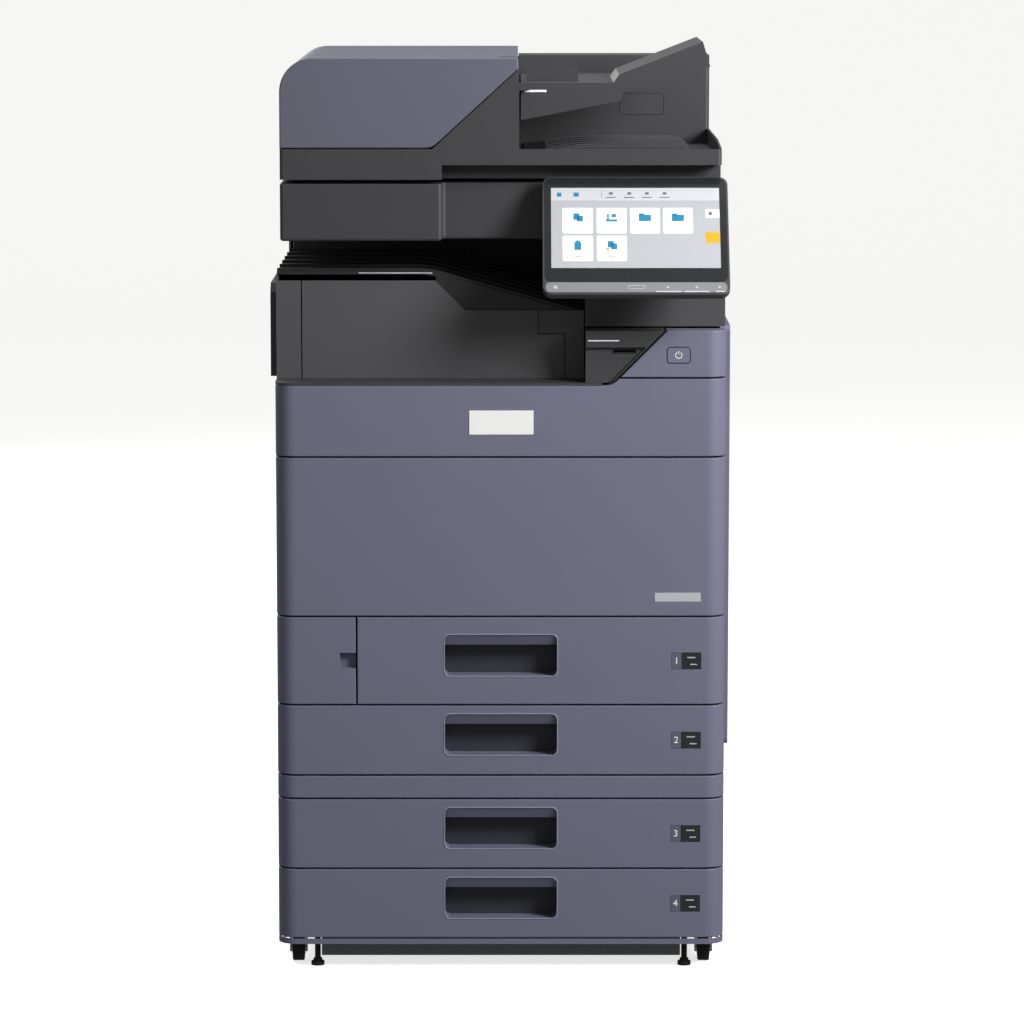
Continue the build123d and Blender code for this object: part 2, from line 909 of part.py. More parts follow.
carriage_left = -scanner_half + 11.0
carriage_width = 58.0
with BuildPart() as scanner_carriage:
    block(
        carriage_left,
        carriage_left + carriage_width,
        glass_front,
        glass_back,
        rail_z - 8,
        scanner_top - 14,
    )
    block(
        carriage_left + 22,
        carriage_left + 36,
        glass_front + 12,
        glass_back - 12,
        rail_z + 8,
        scanner_top - 10,
        Mode.SUBTRACT,
    )
    rod_x(
        carriage_left - 1,
        carriage_left + carriage_width + 1,
        rail_y,
        rail_z,
        rail_radius + shaft_gap,
        Mode.SUBTRACT,
    )
keep("scanner_carriage", scanner_carriage.part)

# ---------------------------------------------------------------- document feeder
feeder_front = scanner_front
feeder_wall = 3.0
mouth = feeder_mouth
split_corner = mouth - 117.5
split_head = feeder_split + 107.0
part_gap = 1.2
table_floor = feeder_split - 14.0
lift_recess = feeder_split - 21.0  # top of the recess behind the touch panel, used to lift the feeder
tray_near = mouth + 2.5
tray_bend = tray_near + 123.0
tray_far = feeder_half - 14.0
tray_surface = feeder_split + 86.0
tray_tip = tray_surface + 54.0
tray_shell = 3.0
tray_outer = [
    (tray_near, tray_surface),
    (tray_bend, tray_surface),
    (tray_bend + 8, tray_surface + 11),
    (tray_far - 10, tray_tip),
    (tray_far, tray_tip - 33),
    (tray_bend + 14, tray_surface - 12),
    (tray_bend + 10, tray_surface - 24),
    (tray_near, tray_surface - 50),
]
tray_inner = [
    (tray_near + tray_shell, tray_surface - tray_shell),
    (tray_bend + 9.5, tray_surface + 8.4),
    (tray_far - 11.5, tray_tip - 4),
    (tray_far + 2, tray_tip - 48),
    (tray_bend + 15, tray_surface - 29),
    (tray_near + tray_shell, tray_surface - 64),
]
document_front = feeder_front + 45
document_back = table_back - 7
outer_front = document_front + 2
outer_back = outer_front + 220
tray_axis = (tray_near + 6, tray_surface - 5)
tray_pin = 2.5
lug_half = 5.0
table_ribs = 6
table_pitch = 60.0
table_rib = 3.0

with BuildPart() as feeder_base:
    block(-feeder_half, feeder_half, feeder_front, feeder_back, feeder_bottom, feeder_split)
    block(mouth, feeder_half, table_back, feeder_back, feeder_split - 1, rear_wall_top)
    fillet(
        feeder_base.edges()
        .filter_by(Axis.Z)
        .filter_by(lambda edge: abs(edge.center().X) > feeder_half - 1),
        5,
    )
    block(
        -feeder_half + feeder_wall,
        recess_left - feeder_wall,
        feeder_front + feeder_wall,
        feeder_back - feeder_wall,
        feeder_bottom + feeder_wall,
        feeder_split + 1,
        Mode.SUBTRACT,
    )
    block(
        recess_left - feeder_wall - 1,
        mouth - feeder_wall,
        feeder_front + feeder_wall,
        feeder_back - feeder_wall,
        lift_recess + feeder_wall,
        feeder_split + 1,
        Mode.SUBTRACT,
    )
    block(
        recess_left - feeder_wall - 1,
        mouth - feeder_wall,
        recess_front + feeder_wall,
        feeder_back - feeder_wall,
        feeder_bottom + feeder_wall,
        feeder_split + 1,
        Mode.SUBTRACT,
    )
    block(
        mouth,
        feeder_half - feeder_wall,
        feeder_front + feeder_wall,
        table_back,
        table_floor,
        feeder_split + 1,
        Mode.SUBTRACT,
    )
    block(
        mouth,
        feeder_half - feeder_wall,
        recess_front + feeder_wall,
        feeder_back - feeder_wall,
        feeder_bottom - 1,
        table_floor - feeder_wall,
        Mode.SUBTRACT,
    )
    block(
        recess_left,
        feeder_half + 1,
        feeder_front - 1,
        recess_front,
        feeder_bottom - 1,
        lift_recess,
        Mode.SUBTRACT,
    )
    gable = [
        (split_corner + 2, feeder_split - 1),
        (mouth, feeder_split - 1),
        (mouth, split_head - part_gap),
        (split_corner + 2, feeder_split),
    ]
    for y in (feeder_front, feeder_back - feeder_wall):
        profile(face_plane(y), gable, -feeder_wall)
    wall_back = table_back + feeder_wall
    mouth_top = split_head - part_gap - 4
    eject_top = feeder_split + 24
    block(mouth - feeder_wall, mouth, feeder_front, wall_back, feeder_split - 1, table_high + 5)
    block(mouth - feeder_wall, mouth, feeder_front, wall_back, eject_top, mouth_top)
    for y in (feeder_front, wall_back - 20):
        block(mouth - feeder_wall, mouth, y, y + 20, feeder_split, mouth_top)
    side_rise = [
        (feeder_front + 6, feeder_split - 1),
        (table_back, feeder_split - 1),
        (table_back, table_high),
        (feeder_front + 120, table_high),
        (feeder_front + 6, table_lip),
    ]
    profile(side_plane(feeder_half - feeder_wall), side_rise, feeder_wall)
    block(
        mouth - feeder_wall - 1,
        feeder_half - feeder_wall,
        table_back + feeder_wall,
        feeder_back - feeder_wall,
        feeder_split - 2,
        rear_wall_top - feeder_wall,
        Mode.SUBTRACT,
    )
    for rib in range(table_ribs):
        y = feeder_front + 50 + rib * table_pitch
        block(mouth, feeder_half - 40, y, y + table_rib, table_floor - 1, table_floor + table_rib)
    block(
        mouth - 1,
        tray_axis[0] + lug_half,
        document_front - 8,
        document_front - 1,
        tray_axis[1] - lug_half,
        tray_axis[1] + lug_half,
    )
    rod_y(document_front - 3, document_front + 8, *tray_axis, tray_pin)
    rod_y(document_back - 8, table_back + 1, *tray_axis, tray_pin)
    for side in (-1, 1):
        for edge in (-1, 1):
            x = side * hinge_x + edge * (post_width / 2 + feeder_lug + 1)
            block(
                x - feeder_lug,
                x + feeder_lug,
                feeder_back - 1,
                feeder_hinge_y,
                feeder_hinge_z - lug_radius,
                feeder_hinge_z + lug_radius,
            )
            rod_x(x - feeder_lug, x + feeder_lug, feeder_hinge_y, feeder_hinge_z, lug_radius)
            rod_x(
                x - feeder_lug - 1,
                x + feeder_lug + 1,
                feeder_hinge_y,
                feeder_hinge_z,
                feeder_pin + shaft_gap,
                Mode.SUBTRACT,
            )
keep("feeder_base", feeder_base.part)

cover_axis = (-feeder_half + 5, feeder_split + part_gap + 12)
cover_right = mouth - part_gap
latch_width = 26.0
latch_length = 52.0
latch_sink = 1.5
cover_slope = (split_head - feeder_split) / (mouth - split_corner)
cover_corner = split_corner + part_gap
cover_head = feeder_split + part_gap + cover_slope * (cover_right - cover_corner)
cover_outline = [
    (-feeder_half, feeder_split + part_gap),
    (cover_corner, feeder_split + part_gap),
    (cover_right, cover_head),
    (cover_right, feeder_top),
    (-feeder_half, feeder_top),
]
cover_hollow = [
    (-feeder_half + feeder_wall, feeder_split - 2),
    (cover_corner + 1, feeder_split - 2),
    (cover_right - feeder_wall, cover_head - 2 * feeder_wall),
    (cover_right - feeder_wall, feeder_top - feeder_wall),
    (-feeder_half + feeder_wall, feeder_top - feeder_wall),
]
with BuildPart() as feeder_cover:
    profile(
        face_plane(feeder_front),
        cover_outline,
        -(feeder_back - feeder_front),
        rounds=[((-feeder_half, feeder_top), feeder_round), ((cover_corner, feeder_split), 20)],
    )
    fillet(feeder_cover.faces().sort_by(Axis.Y)[0].edges(), 2)
    fillet(feeder_cover.faces().sort_by(Axis.Y)[-1].edges(), 2)
    profile(
        face_plane(feeder_front + feeder_wall),
        cover_hollow,
        -(feeder_back - feeder_front - 2 * feeder_wall),
        Mode.SUBTRACT,
        rounds=[((-feeder_half + feeder_wall, feeder_top - feeder_wall), feeder_round - feeder_wall)],
    )
    rod_y(feeder_front + 1, feeder_back - 1, *cover_axis, hinge_radius + 0.5)
    block(
        cover_right - latch_width,
        cover_right + 1,
        feeder_front + 8,
        feeder_front + 8 + latch_length,
        feeder_top - latch_sink,
        feeder_top + 1,
        Mode.SUBTRACT,
    )
keep("feeder_cover", feeder_cover.part)

feed_shafts = [  # X, height and roller radius
    (-feeder_half + 63, feeder_split + 32, 10),
    (-feeder_half + 133, feeder_split + 77, 12),
    (split_corner + 3, feeder_split + 42, 9),
    (mouth - 54.5, feeder_split + 82, 11),
]
roller_front = feeder_front + 100
feed_plate_front = recess_front + feeder_wall + 3
feed_plate_back = feeder_back - 44
roller_pitch = 100.0
roller_width = 30.0
feed_shaft_radius = 4.0
feed_plate = 4.0
with BuildPart() as feeder_rollers:
    for x, z, radius in feed_shafts:
        rod_y(feed_plate_front + 2, feed_plate_back + 2, x, z, feed_shaft_radius)
        for place in range(3):
            y = roller_front + place * roller_pitch
            rod_y(y, y + roller_width, x, z, radius)
    for y in (feed_plate_front, feed_plate_back):
        block(
            -feeder_half + 31,
            split_corner + 93,
            y,
            y + feed_plate,
            feeder_bottom + feeder_wall,
            feeder_split + 2,
        )
        for x, z, radius in feed_shafts:
            block(x - 8, x + 8, y, y + feed_plate, feeder_split, z + 7)
keep("feeder_rollers", feeder_rollers.part)

flat_end = tray_bend + 10
flat_outer = [tray_outer[0], (flat_end, tray_surface), tray_outer[6], tray_outer[7]]
flat_inner = [
    tray_inner[0],
    (flat_end - tray_shell, tray_surface - tray_shell),
    (flat_end - tray_shell, tray_surface - 44),
    tray_inner[5],
]
with BuildPart() as document_tray:
    profile(face_plane(document_front), flat_outer, -(document_back - document_front))
    profile(
        face_plane(document_front + tray_shell),
        flat_inner,
        -(document_back - document_front - 2 * tray_shell),
        Mode.SUBTRACT,
    )
    profile(face_plane(outer_front), tray_outer[1:7], -(outer_back - outer_front))
    profile(
        face_plane(outer_front + tray_shell),
        tray_inner[1:5],
        -(outer_back - outer_front - 2 * tray_shell),
        Mode.SUBTRACT,
    )
    for y in (document_front, document_back - 12):
        rod_y(y, y + 12, *tray_axis, tray_pin + 3)
    rod_y(document_front - 1, document_front + 13, *tray_axis, tray_pin + shaft_gap, Mode.SUBTRACT)
    rod_y(document_back - 13, document_back + 1, *tray_axis, tray_pin + shaft_gap, Mode.SUBTRACT)
keep("document_tray", document_tray.part)

guide_low = tray_surface + 0.3
guide_top = guide_low + 16.7
guide_near = tray_near + 7  # clears the wall behind it when the tray is lifted
guide_far = guide_near + 70
guide_middle = (document_front + document_back) / 2
guide_reach = 116.0  # each paper guide starts this far from the middle of the tray
for name, side in (("guide_front", -1), ("guide_rear", 1)):
    with BuildPart() as guide:
        y = guide_middle + side * guide_reach
        inward = y - side * 26
        block(guide_near + 4, guide_far - 4, min(y, inward), max(y, inward), guide_low, guide_low + 2)
        outward = y + side * 4
        block(guide_near, guide_far, min(y, outward), max(y, outward), guide_low, guide_top)
        fillet(guide.edges().filter_by(Axis.Y).group_by(Axis.Z)[-1], 6)
    keep(name, guide.part)

# ---------------------------------------------------------------- right door and its tray
door_out = half + side_bulge
door_thick = 14.0
door_in = door_out - door_thick
side_hinge = (door_out - 5, door_back - 5)
bypass_low = row_1 + 40.0
bypass_high = bypass_low + 162.0
bypass_front = door_front + 40
bypass_back = door_back - 40
bypass_thick = 8.0
bypass_axis = (door_out - 5, bypass_low + 5)
bypass_gap = 1.6
bypass_pin = 2.0
bypass_lip = 3.0
finger_cut = 14.0
grip_low = bypass_high + 54.0
grip_high = grip_low + 90.0
grip_front = door_front + 20
grip_back = grip_front + 24
grip_depth = 10.0

with BuildPart() as right_door:
    block(door_in, door_out, door_front, door_back, side_door_bottom, side_door_top)
    fillet(right_door.edges().filter_by(Axis.X), 8)
    block(
        door_in - 1,
        door_out - wall,
        door_front + wall,
        door_back - wall,
        side_door_bottom + wall,
        side_door_top - wall,
        Mode.SUBTRACT,
    )
    block(
        door_out - bypass_thick - 2 - wall,
        door_out - 1,
        bypass_front - bypass_gap - wall,
        bypass_back + bypass_gap + wall,
        bypass_low - bypass_gap - wall,
        bypass_high + bypass_gap + wall,
    )
    block(
        door_out - bypass_thick - 2,
        door_out + 1,
        bypass_front - bypass_gap,
        bypass_back + bypass_gap,
        bypass_low - bypass_gap,
        bypass_high + bypass_gap,
        Mode.SUBTRACT,
    )
    block(
        door_out - grip_depth - wall,
        door_out - 1,
        grip_front - wall,
        grip_back + wall,
        grip_low - wall,
        grip_high + wall,
    )
    block(
        door_out - grip_depth,
        door_out + 1,
        grip_front,
        grip_back,
        grip_low,
        grip_high,
        Mode.SUBTRACT,
    )
    rod_z(side_door_bottom + 1, side_door_top - 1, *side_hinge, hinge_radius + 0.5)
    rod_y(bypass_front - bypass_gap - 1, bypass_front + 10, *bypass_axis, bypass_pin)
    rod_y(bypass_back - 10, bypass_back + bypass_gap + 1, *bypass_axis, bypass_pin)
keep("right_door", right_door.part)

with BuildPart() as multipurpose_tray:
    block(door_out - bypass_thick, door_out, bypass_front, bypass_back, bypass_low, bypass_high)
    fillet(multipurpose_tray.edges().filter_by(Axis.Y).sort_by(Axis.Z)[:2], 3)
    block(
        door_out - bypass_thick - 1,
        door_out - bypass_lip,
        bypass_front + 20,
        bypass_back - 20,
        bypass_low + 20,
        bypass_high - 8,
        Mode.SUBTRACT,
    )
    block(
        door_out - bypass_lip,
        door_out + 1,
        paper_middle - 40,
        paper_middle + 40,
        bypass_high - finger_cut,
        bypass_high + 1,
        Mode.SUBTRACT,
    )
    rod_y(bypass_front - 1, bypass_front + 11, *bypass_axis, bypass_pin + shaft_gap, Mode.SUBTRACT)
    rod_y(bypass_back - 11, bypass_back + 1, *bypass_axis, bypass_pin + shaft_gap, Mode.SUBTRACT)
keep("multipurpose_tray", multipurpose_tray.part)

# ---------------------------------------------------------------- side and rear covers
side_front = front + cover_depth + seam
jamb_front = front + front_door_depth + seam
rear_face = back - 1.6
rear_inner = rear_face - wall
side_back = rear_inner - run
side_outline = [
    (side_front, skirt_low),
    (side_back, skirt_low),
    (side_back, body_top),
    (inner_back, body_top),
    (inner_back, ledge_high + run),
    (front + ledge_depth + run, ledge_high + run),
    (front + ledge_depth + run, fascia_edge),
    (side_front, fascia_edge),
    (side_front, fascia_bottom - 1),
    (jamb_front, fascia_bottom - 1),
    (jamb_front, door_bottom + 1),
    (side_front, door_bottom + 1),
]
exit_front = front + 75
exit_back = front + 330
exit_bottom = fascia_top + 4.0
exit_top = exit_bottom + 125.0
exit_cut = 12.0
vent_count = 12
vent_pitch = 12.0
vent_low = door_bottom + 76.0
vent_high = vent_low + 120.0

with BuildPart() as side_covers:
    profile(side_plane(-half), side_outline, wall)
    profile(side_plane(half - wall), side_outline, wall)
    block(
        half - wall - 1,
        half + 1,
        door_front - seam,
        door_back + seam,
        side_door_bottom - seam,
        side_door_top + seam,
        Mode.SUBTRACT,
    )
    for vent in range(vent_count):
        y = back - 190 + vent * vent_pitch
        block(-half - 1, -half + wall + 1, y, y + 5, vent_low, vent_high, Mode.SUBTRACT)
    profile(
        side_plane(-half - side_bulge),
        [
            (exit_front, exit_bottom),
            (exit_back, exit_bottom),
            (exit_back, exit_top - exit_cut),
            (exit_back - exit_cut, exit_top),
            (exit_front + exit_cut, exit_top),
            (exit_front, exit_top - exit_cut),
        ],
        side_bulge - run,
    )
keep("side_covers", side_covers.part)

rear_split = door_bottom + 76.0
lid_half = half - wall - run  # the flat top behind the output space
inlet_x = half - 87.0
inlet_z = base_height + 48.0
inlet_width = 30.0
inlet_height = 24.0
screw_radius = 2.0
head_radius = 4.0
screw_x = half - 16
screw_heights = [base_height + 16, rear_split - 20, rear_split + 22, scanner_bottom - 26]
screw_places = [(x, z) for x in (-screw_x, 0, screw_x) for z in screw_heights]
rear_vent_pitch = 14.0
rear_vent_length = 140.0
with BuildPart() as rear_covers:
    block(-half, half, rear_inner, rear_face, skirt_low, rear_split - seam / 2)
    block(-half, half, rear_inner, rear_face, rear_split + seam / 2, body_top)
    block(-lid_half, lid_half, inner_back + wall + run, rear_inner + 1, body_top - wall, body_top)
    block(
        inlet_x - inlet_width / 2 - run,
        inlet_x + inlet_width / 2 + run,
        rear_inner - 1,
        rear_face + 1,
        inlet_z - inlet_height / 2 - run,
        inlet_z + inlet_height / 2 + run,
        Mode.SUBTRACT,
    )
    for column in range(2):
        for vent in range(10):
            x = -220 + column * 300
            z = rear_split + 80 + vent * rear_vent_pitch
            block(x, x + rear_vent_length, rear_inner - 1, rear_face + 1, z, z + 5, Mode.SUBTRACT)
    for x, z in screw_places:
        rod_y(rear_inner - 1, rear_face + 1, x, z, screw_radius + shaft_gap, Mode.SUBTRACT)
keep("rear_covers", rear_covers.part)

with BuildPart() as cover_screws:
    for x, z in screw_places:
        rod_y(rear_face, back, x, z, head_radius)
        rod_y(back - 13.8, rear_face, x, z, screw_radius)
keep("cover_screws", cover_screws.part)

inlet_floor = rear_face - 18
inlet_wall = 2.5
with BuildPart() as power_inlet:
    block(
        inlet_x - inlet_width / 2,
        inlet_x + inlet_width / 2,
        inlet_floor - 2,
        rear_face,
        inlet_z - inlet_height / 2,
        inlet_z + inlet_height / 2,
    )
    block(
        inlet_x - inlet_width / 2 + inlet_wall,
        inlet_x + inlet_width / 2 - inlet_wall,
        inlet_floor,
        rear_face + 1,
        inlet_z - inlet_height / 2 + inlet_wall,
        inlet_z + inlet_height / 2 - inlet_wall,
        Mode.SUBTRACT,
    )
    for x, z in ((-7, -3), (7, -3), (0, 4)):
        block(
            inlet_x + x - 1,
            inlet_x + x + 1,
            inlet_floor - 1,
            rear_face - 5,
            inlet_z + z - 2,
            inlet_z + z + 2,
        )
keep("power_inlet", power_inlet.part)

# ---------------------------------------------------------------- frame
frame_low = pan_top
frame_deck = fascia_top - 8
frame_head = body_top - wall - run
front_sheet = 2.0
toner_pitch = 90.0
toner_x = [frame_left + 91 + toner_pitch * place for place in range(4)]
toner_z = door_bottom + 171.0
toner_radius = 27.0
cradle_z = toner_z - toner_radius - 0.3
cradle_back = frame_back - 189.0
fuser_x = frame_right - 56.0
fuser_z = door_bottom + 196.0
plate_outline = [
    (frame_front, frame_low),
    (frame_back, frame_low),
    (frame_back, frame_head),
    (inner_back + wall + run, frame_head),
    (inner_back + wall + run, frame_deck),
    (frame_front, frame_deck),
]
with BuildPart() as frame:
    profile(side_plane(frame_left - plate), plate_outline, plate)
    profile(side_plane(frame_right), plate_outline, plate)
    block(frame_left - plate, frame_right + plate, frame_back - shelf, frame_back, frame_low, frame_head)
    for shelf_z in (row_3, row_2, row_1, door_bottom):
        block(frame_left, frame_right, frame_front, frame_back, shelf_z + 1, shelf_z + 1 + shelf)
    block(frame_left, frame_right, frame_front, frame_back, frame_deck - shelf, frame_deck)
    block(frame_left, frame_right, frame_front, frame_front + front_sheet, door_bottom + 1, frame_deck)
    block(toner_x[0] - 40, toner_x[3] + 42, frame_front, cradle_back, cradle_z - shelf, cradle_z)
    for x in toner_x:
        rod_y(frame_front - 1, frame_front + front_sheet + 1, x, toner_z, toner_radius + 0.5, Mode.SUBTRACT)
    block(
        fuser_x - 46,
        fuser_x + 44,
        frame_front - 1,
        frame_front + front_sheet + 1,
        fuser_z - 40,
        fuser_z + 40,
        Mode.SUBTRACT,
    )
    for _, z0, z1, _, _ in cassettes:
        block(
            frame_right - 1,
            frame_right + plate + 1,
            paper_front,
            paper_back,
            z1 - bin_clear_above + 2,
            z1 - 10,
            Mode.SUBTRACT,
        )
    block(
        inlet_x - 20,
        inlet_x + 20,
        frame_back - shelf - 1,
        frame_back + 1,
        inlet_z - 16,
        inlet_z + 16,
        Mode.SUBTRACT,
    )
keep("frame", frame.part)

# ---------------------------------------------------------------- inside the machine
supply_left = -200.0
supply_right = -20.0
supply_front = frame_back - 133.0
supply_top = door_bottom + 216
supply_sheet = 2.0
unit_front = frame_front + 18
unit_back = supply_front - 58
feed_x = bin_right - 21.0
feed_radius = 11.0
feed_shaft = 4.0
transport_x = half - 24.0
transport_radius = 9.0
transport_heights = [row_3 + 70, row_2 + 62, row_1 + 86, door_bottom + 116]
roller_strip = 30.0

with BuildPart() as feed_rollers:
    for _, z0, z1, _, _ in cassettes:
        z = z1 - bin_clear_above + feed_radius + 3
        rod_y(paper_middle - 90, paper_middle + 90, feed_x, z, feed_shaft)
        for y in (paper_middle - 45, paper_middle + 15):
            rod_y(y, y + roller_strip, feed_x, z, feed_radius)
        for y in (paper_middle - 90, paper_middle + 86):
            block(feed_x - 8, feed_x + 8, y, y + 4, z - 6, z1 + 1)
    for z in transport_heights:
        rod_y(paper_front, paper_back, transport_x, z, feed_shaft)
        for y in (paper_front + 50, paper_middle - 15, paper_back - 80):
            rod_y(y, y + roller_strip, transport_x, z, transport_radius)
        for y in (paper_front, paper_back - 4):
            block(frame_right + plate, transport_x + 6, y, y + 4, z - 6, z + 6)
keep("feed_rollers", feed_rollers.part)

with BuildPart() as toner_containers:
    for x in toner_x:
        rod_y(frame_front - 9, unit_back, x, toner_z, toner_radius)
        rod_y(frame_front - 10, frame_front - 3, x, toner_z, toner_radius - 8, Mode.SUBTRACT)
        block(x - 3, x + 3, frame_front - 9, frame_front - 2, toner_z - 20, toner_z + 20)
keep("toner_containers", toner_containers.part)

with BuildPart() as waste_toner_box:
    block(frame_left + 5, split_x - 8, frame_front + 2, frame_front + 256, row_1 + 8, door_bottom - 6)
    fillet(waste_toner_box.edges().filter_by(Axis.Y), 6)
keep("waste_toner_box", waste_toner_box.part)

belt_z = door_bottom + 116.0
belt_radius = 12.0
belt_left = toner_x[0] - 25
belt_right = toner_x[3] + 30
belt_sheet = 1.0
with BuildPart() as transfer_belt:
    with BuildSketch(face_plane(unit_front)) as loop:
        with Locations(((belt_left + belt_right) / 2, belt_z)):
            SlotOverall(belt_right - belt_left + 2 * belt_radius, 2 * belt_radius)
            SlotOverall(
                belt_right - belt_left + 2 * (belt_radius - belt_sheet),
                2 * (belt_radius - belt_sheet),
                mode=Mode.SUBTRACT,
            )
    extrude(amount=-(unit_back - unit_front))
    for x in (belt_left, belt_right):
        rod_y(unit_front - 6, unit_back + 6, x, belt_z, belt_radius - belt_sheet - 0.3)
keep("transfer_belt", transfer_belt.part)

drum_radius = 15.0
drum_z = belt_z - belt_radius - drum_radius - 0.3
with BuildPart() as drum_units:
    for x in toner_x:
        block(x - 34, x + 34, unit_front, unit_back, drum_z - 38, drum_z - 4)
        rod_y(unit_front + 8, unit_back - 8, x, drum_z, drum_radius + 1, Mode.SUBTRACT)
        rod_y(unit_front + 9, unit_back - 9, x, drum_z, drum_radius)
        rod_y(unit_front - 4, unit_back + 4, x, drum_z - 4, 4)
keep("drum_units", drum_units.part)

with BuildPart() as laser_unit:
    block(toner_x[0] - 36, toner_x[3] + 42, unit_front, unit_back, door_bottom + 5, drum_z - 40)
    for x in toner_x:
        block(x - 4, x + 4, unit_front + 20, unit_back - 20, drum_z - 46, drum_z - 39, Mode.SUBTRACT)
keep("laser_unit", laser_unit.part)

fuser_half = 36.0
heat_radius = 17.0
heat_shaft = 4.0
with BuildPart() as fuser:
    block(
        fuser_x - fuser_half,
        fuser_x + fuser_half,
        unit_front,
        unit_back,
        fuser_z - fuser_half + 2,
        fuser_z + fuser_half - 2,
    )
    block(
        fuser_x - fuser_half + wall,
        fuser_x + fuser_half - wall,
        unit_front + wall,
        unit_back - wall,
        fuser_z - fuser_half + 2 + wall,
        fuser_z + fuser_half,
        Mode.SUBTRACT,
    )
    for x in (fuser_x - heat_radius - 0.2, fuser_x + heat_radius + 0.2):
        rod_y(unit_front + 1, unit_back - 1, x, fuser_z + 2, heat_shaft)
        rod_y(unit_front + 8, unit_back - 8, x, fuser_z + 2, heat_radius)
keep("fuser", fuser.part)

with BuildPart() as power_supply:
    block(
        supply_left,
        supply_right,
        supply_front,
        frame_back - shelf,
        door_bottom + 3,
        supply_top,
    )
    block(
        supply_left + supply_sheet,
        supply_right - supply_sheet,
        supply_front + supply_sheet,
        frame_back - shelf - supply_sheet,
        door_bottom + 3 + supply_sheet,
        supply_top - supply_sheet,
        Mode.SUBTRACT,
    )
    for vent in range(9):
        z = door_bottom + 36 + vent * 18
        block(
            supply_left + 20,
            supply_right - 20,
            supply_front - 1,
            supply_front + supply_sheet + 1,
            z,
            z + 6,
            Mode.SUBTRACT,
        )
keep("power_supply", power_supply.part)


for name, part in made.items():
    export_step(part, f"parts/{name}.step")
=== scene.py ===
import math
import bmesh
import bpy
import numpy as np
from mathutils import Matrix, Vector


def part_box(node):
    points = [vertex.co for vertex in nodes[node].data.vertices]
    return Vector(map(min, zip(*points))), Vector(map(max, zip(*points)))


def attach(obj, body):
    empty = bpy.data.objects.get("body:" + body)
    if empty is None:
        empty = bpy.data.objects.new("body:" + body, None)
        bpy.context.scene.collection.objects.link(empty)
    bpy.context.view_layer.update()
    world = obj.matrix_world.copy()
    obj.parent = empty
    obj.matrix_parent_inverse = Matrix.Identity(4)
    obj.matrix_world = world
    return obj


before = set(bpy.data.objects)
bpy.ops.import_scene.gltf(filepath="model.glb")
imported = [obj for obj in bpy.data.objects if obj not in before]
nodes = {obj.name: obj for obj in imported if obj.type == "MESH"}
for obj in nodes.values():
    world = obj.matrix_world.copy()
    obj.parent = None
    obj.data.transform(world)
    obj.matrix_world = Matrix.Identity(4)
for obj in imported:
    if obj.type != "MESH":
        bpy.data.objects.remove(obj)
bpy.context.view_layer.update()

scene = bpy.context.scene
mm = 0.001


def toLinear(hexColour):
    channels = np.array([int(hexColour[i:i + 2], 16) for i in (1, 3, 5)]) / 255
    linear = np.where(channels <= 0.04045, channels / 12.92, ((channels + 0.055) / 1.055) ** 2.4)
    return (*[float(c) for c in linear], 1.0)


def addNode(tree, kind, settings=(), links=()):
    node = tree.nodes.new(kind)
    for name, value in settings:
        if isinstance(name, str) and hasattr(node, name):
            setattr(node, name, value)
        else:
            node.inputs[name].default_value = value
    for name, source in links:
        tree.links.new(source, node.inputs[name])
    return node


def newMaterial(name):
    material = bpy.data.materials.new(name)
    material.use_nodes = True
    material.node_tree.nodes.clear()
    tree = material.node_tree
    place = addNode(tree, "ShaderNodeTexCoord").outputs["Object"]
    return material, tree, place


def closeMaterial(tree, shader):
    addNode(tree, "ShaderNodeOutputMaterial", links=[("Surface", shader.outputs["BSDF"])])


def variedColour(tree, place, hexColour, patch, spread):
    # base colour times 1 +- spread, from a soft noise whose features are patch metres wide
    noise = addNode(tree, "ShaderNodeTexNoise", [("Scale", 1 / patch), ("Detail", 3.0)], [("Vector", place)])
    base = toLinear(hexColour)
    low = tuple(c * (1 - spread) for c in base[:3]) + (1.0,)
    high = tuple(min(c * (1 + spread), 1.0) for c in base[:3]) + (1.0,)
    mix = addNode(
        tree,
        "ShaderNodeMix",
        [("data_type", "RGBA"), (6, low), (7, high)],
        [(0, noise.outputs["Fac"])],
    )
    return mix.outputs[2]


def variedRoughness(tree, place, low, high, patch):
    # roughness drifts from low to high over patches of the given width, as handling and cleaning leave it
    noise = addNode(tree, "ShaderNodeTexNoise", [("Scale", 1 / patch), ("Detail", 4.0)], [("Vector", place)])
    spread = addNode(
        tree,
        "ShaderNodeMapRange",
        [("To Min", low), ("To Max", high)],
        [("Value", noise.outputs["Fac"])],
    )
    return spread.outputs["Result"]


def grainBump(tree, place, grain, depth):
    # fine relief: grain is a feature's width and depth its height, both in metres
    noise = addNode(tree, "ShaderNodeTexNoise", [("Scale", 1 / grain), ("Detail", 2.0)], [("Vector", place)])
    bump = addNode(
        tree,
        "ShaderNodeBump",
        [("Strength", 1.0), ("Distance", depth)],
        [("Height", noise.outputs["Fac"])],
    )
    return bump.outputs["Normal"]


plastic = {"ior": 1.53, "patch": 0.12, "spread": 0.035, "smoother": 0.05, "rougher": 0.07, "wear": 0.02}


def mouldedPlastic(name, settings):
    # injection moulded in a spark-eroded tool: the fine grain breaks the highlight into a soft satin patch
    material, tree, place = newMaterial(name)
    colour = variedColour(tree, place, settings["colour"], plastic["patch"], plastic["spread"])
    smooth = settings["roughness"] - plastic["smoother"]
    rough = settings["roughness"] + plastic["rougher"]
    shader = addNode(
        tree,
        "ShaderNodeBsdfPrincipled",
        [("IOR", plastic["ior"]), ("Coat Weight", settings.get("coat", 0.0))],
        [
            ("Base Color", colour),
            ("Roughness", variedRoughness(tree, place, smooth, rough, plastic["wear"])),
            ("Normal", grainBump(tree, place, settings["grain"] * mm, settings["depth"] * mm)),
        ],
    )
    closeMaterial(tree, shader)
    return material


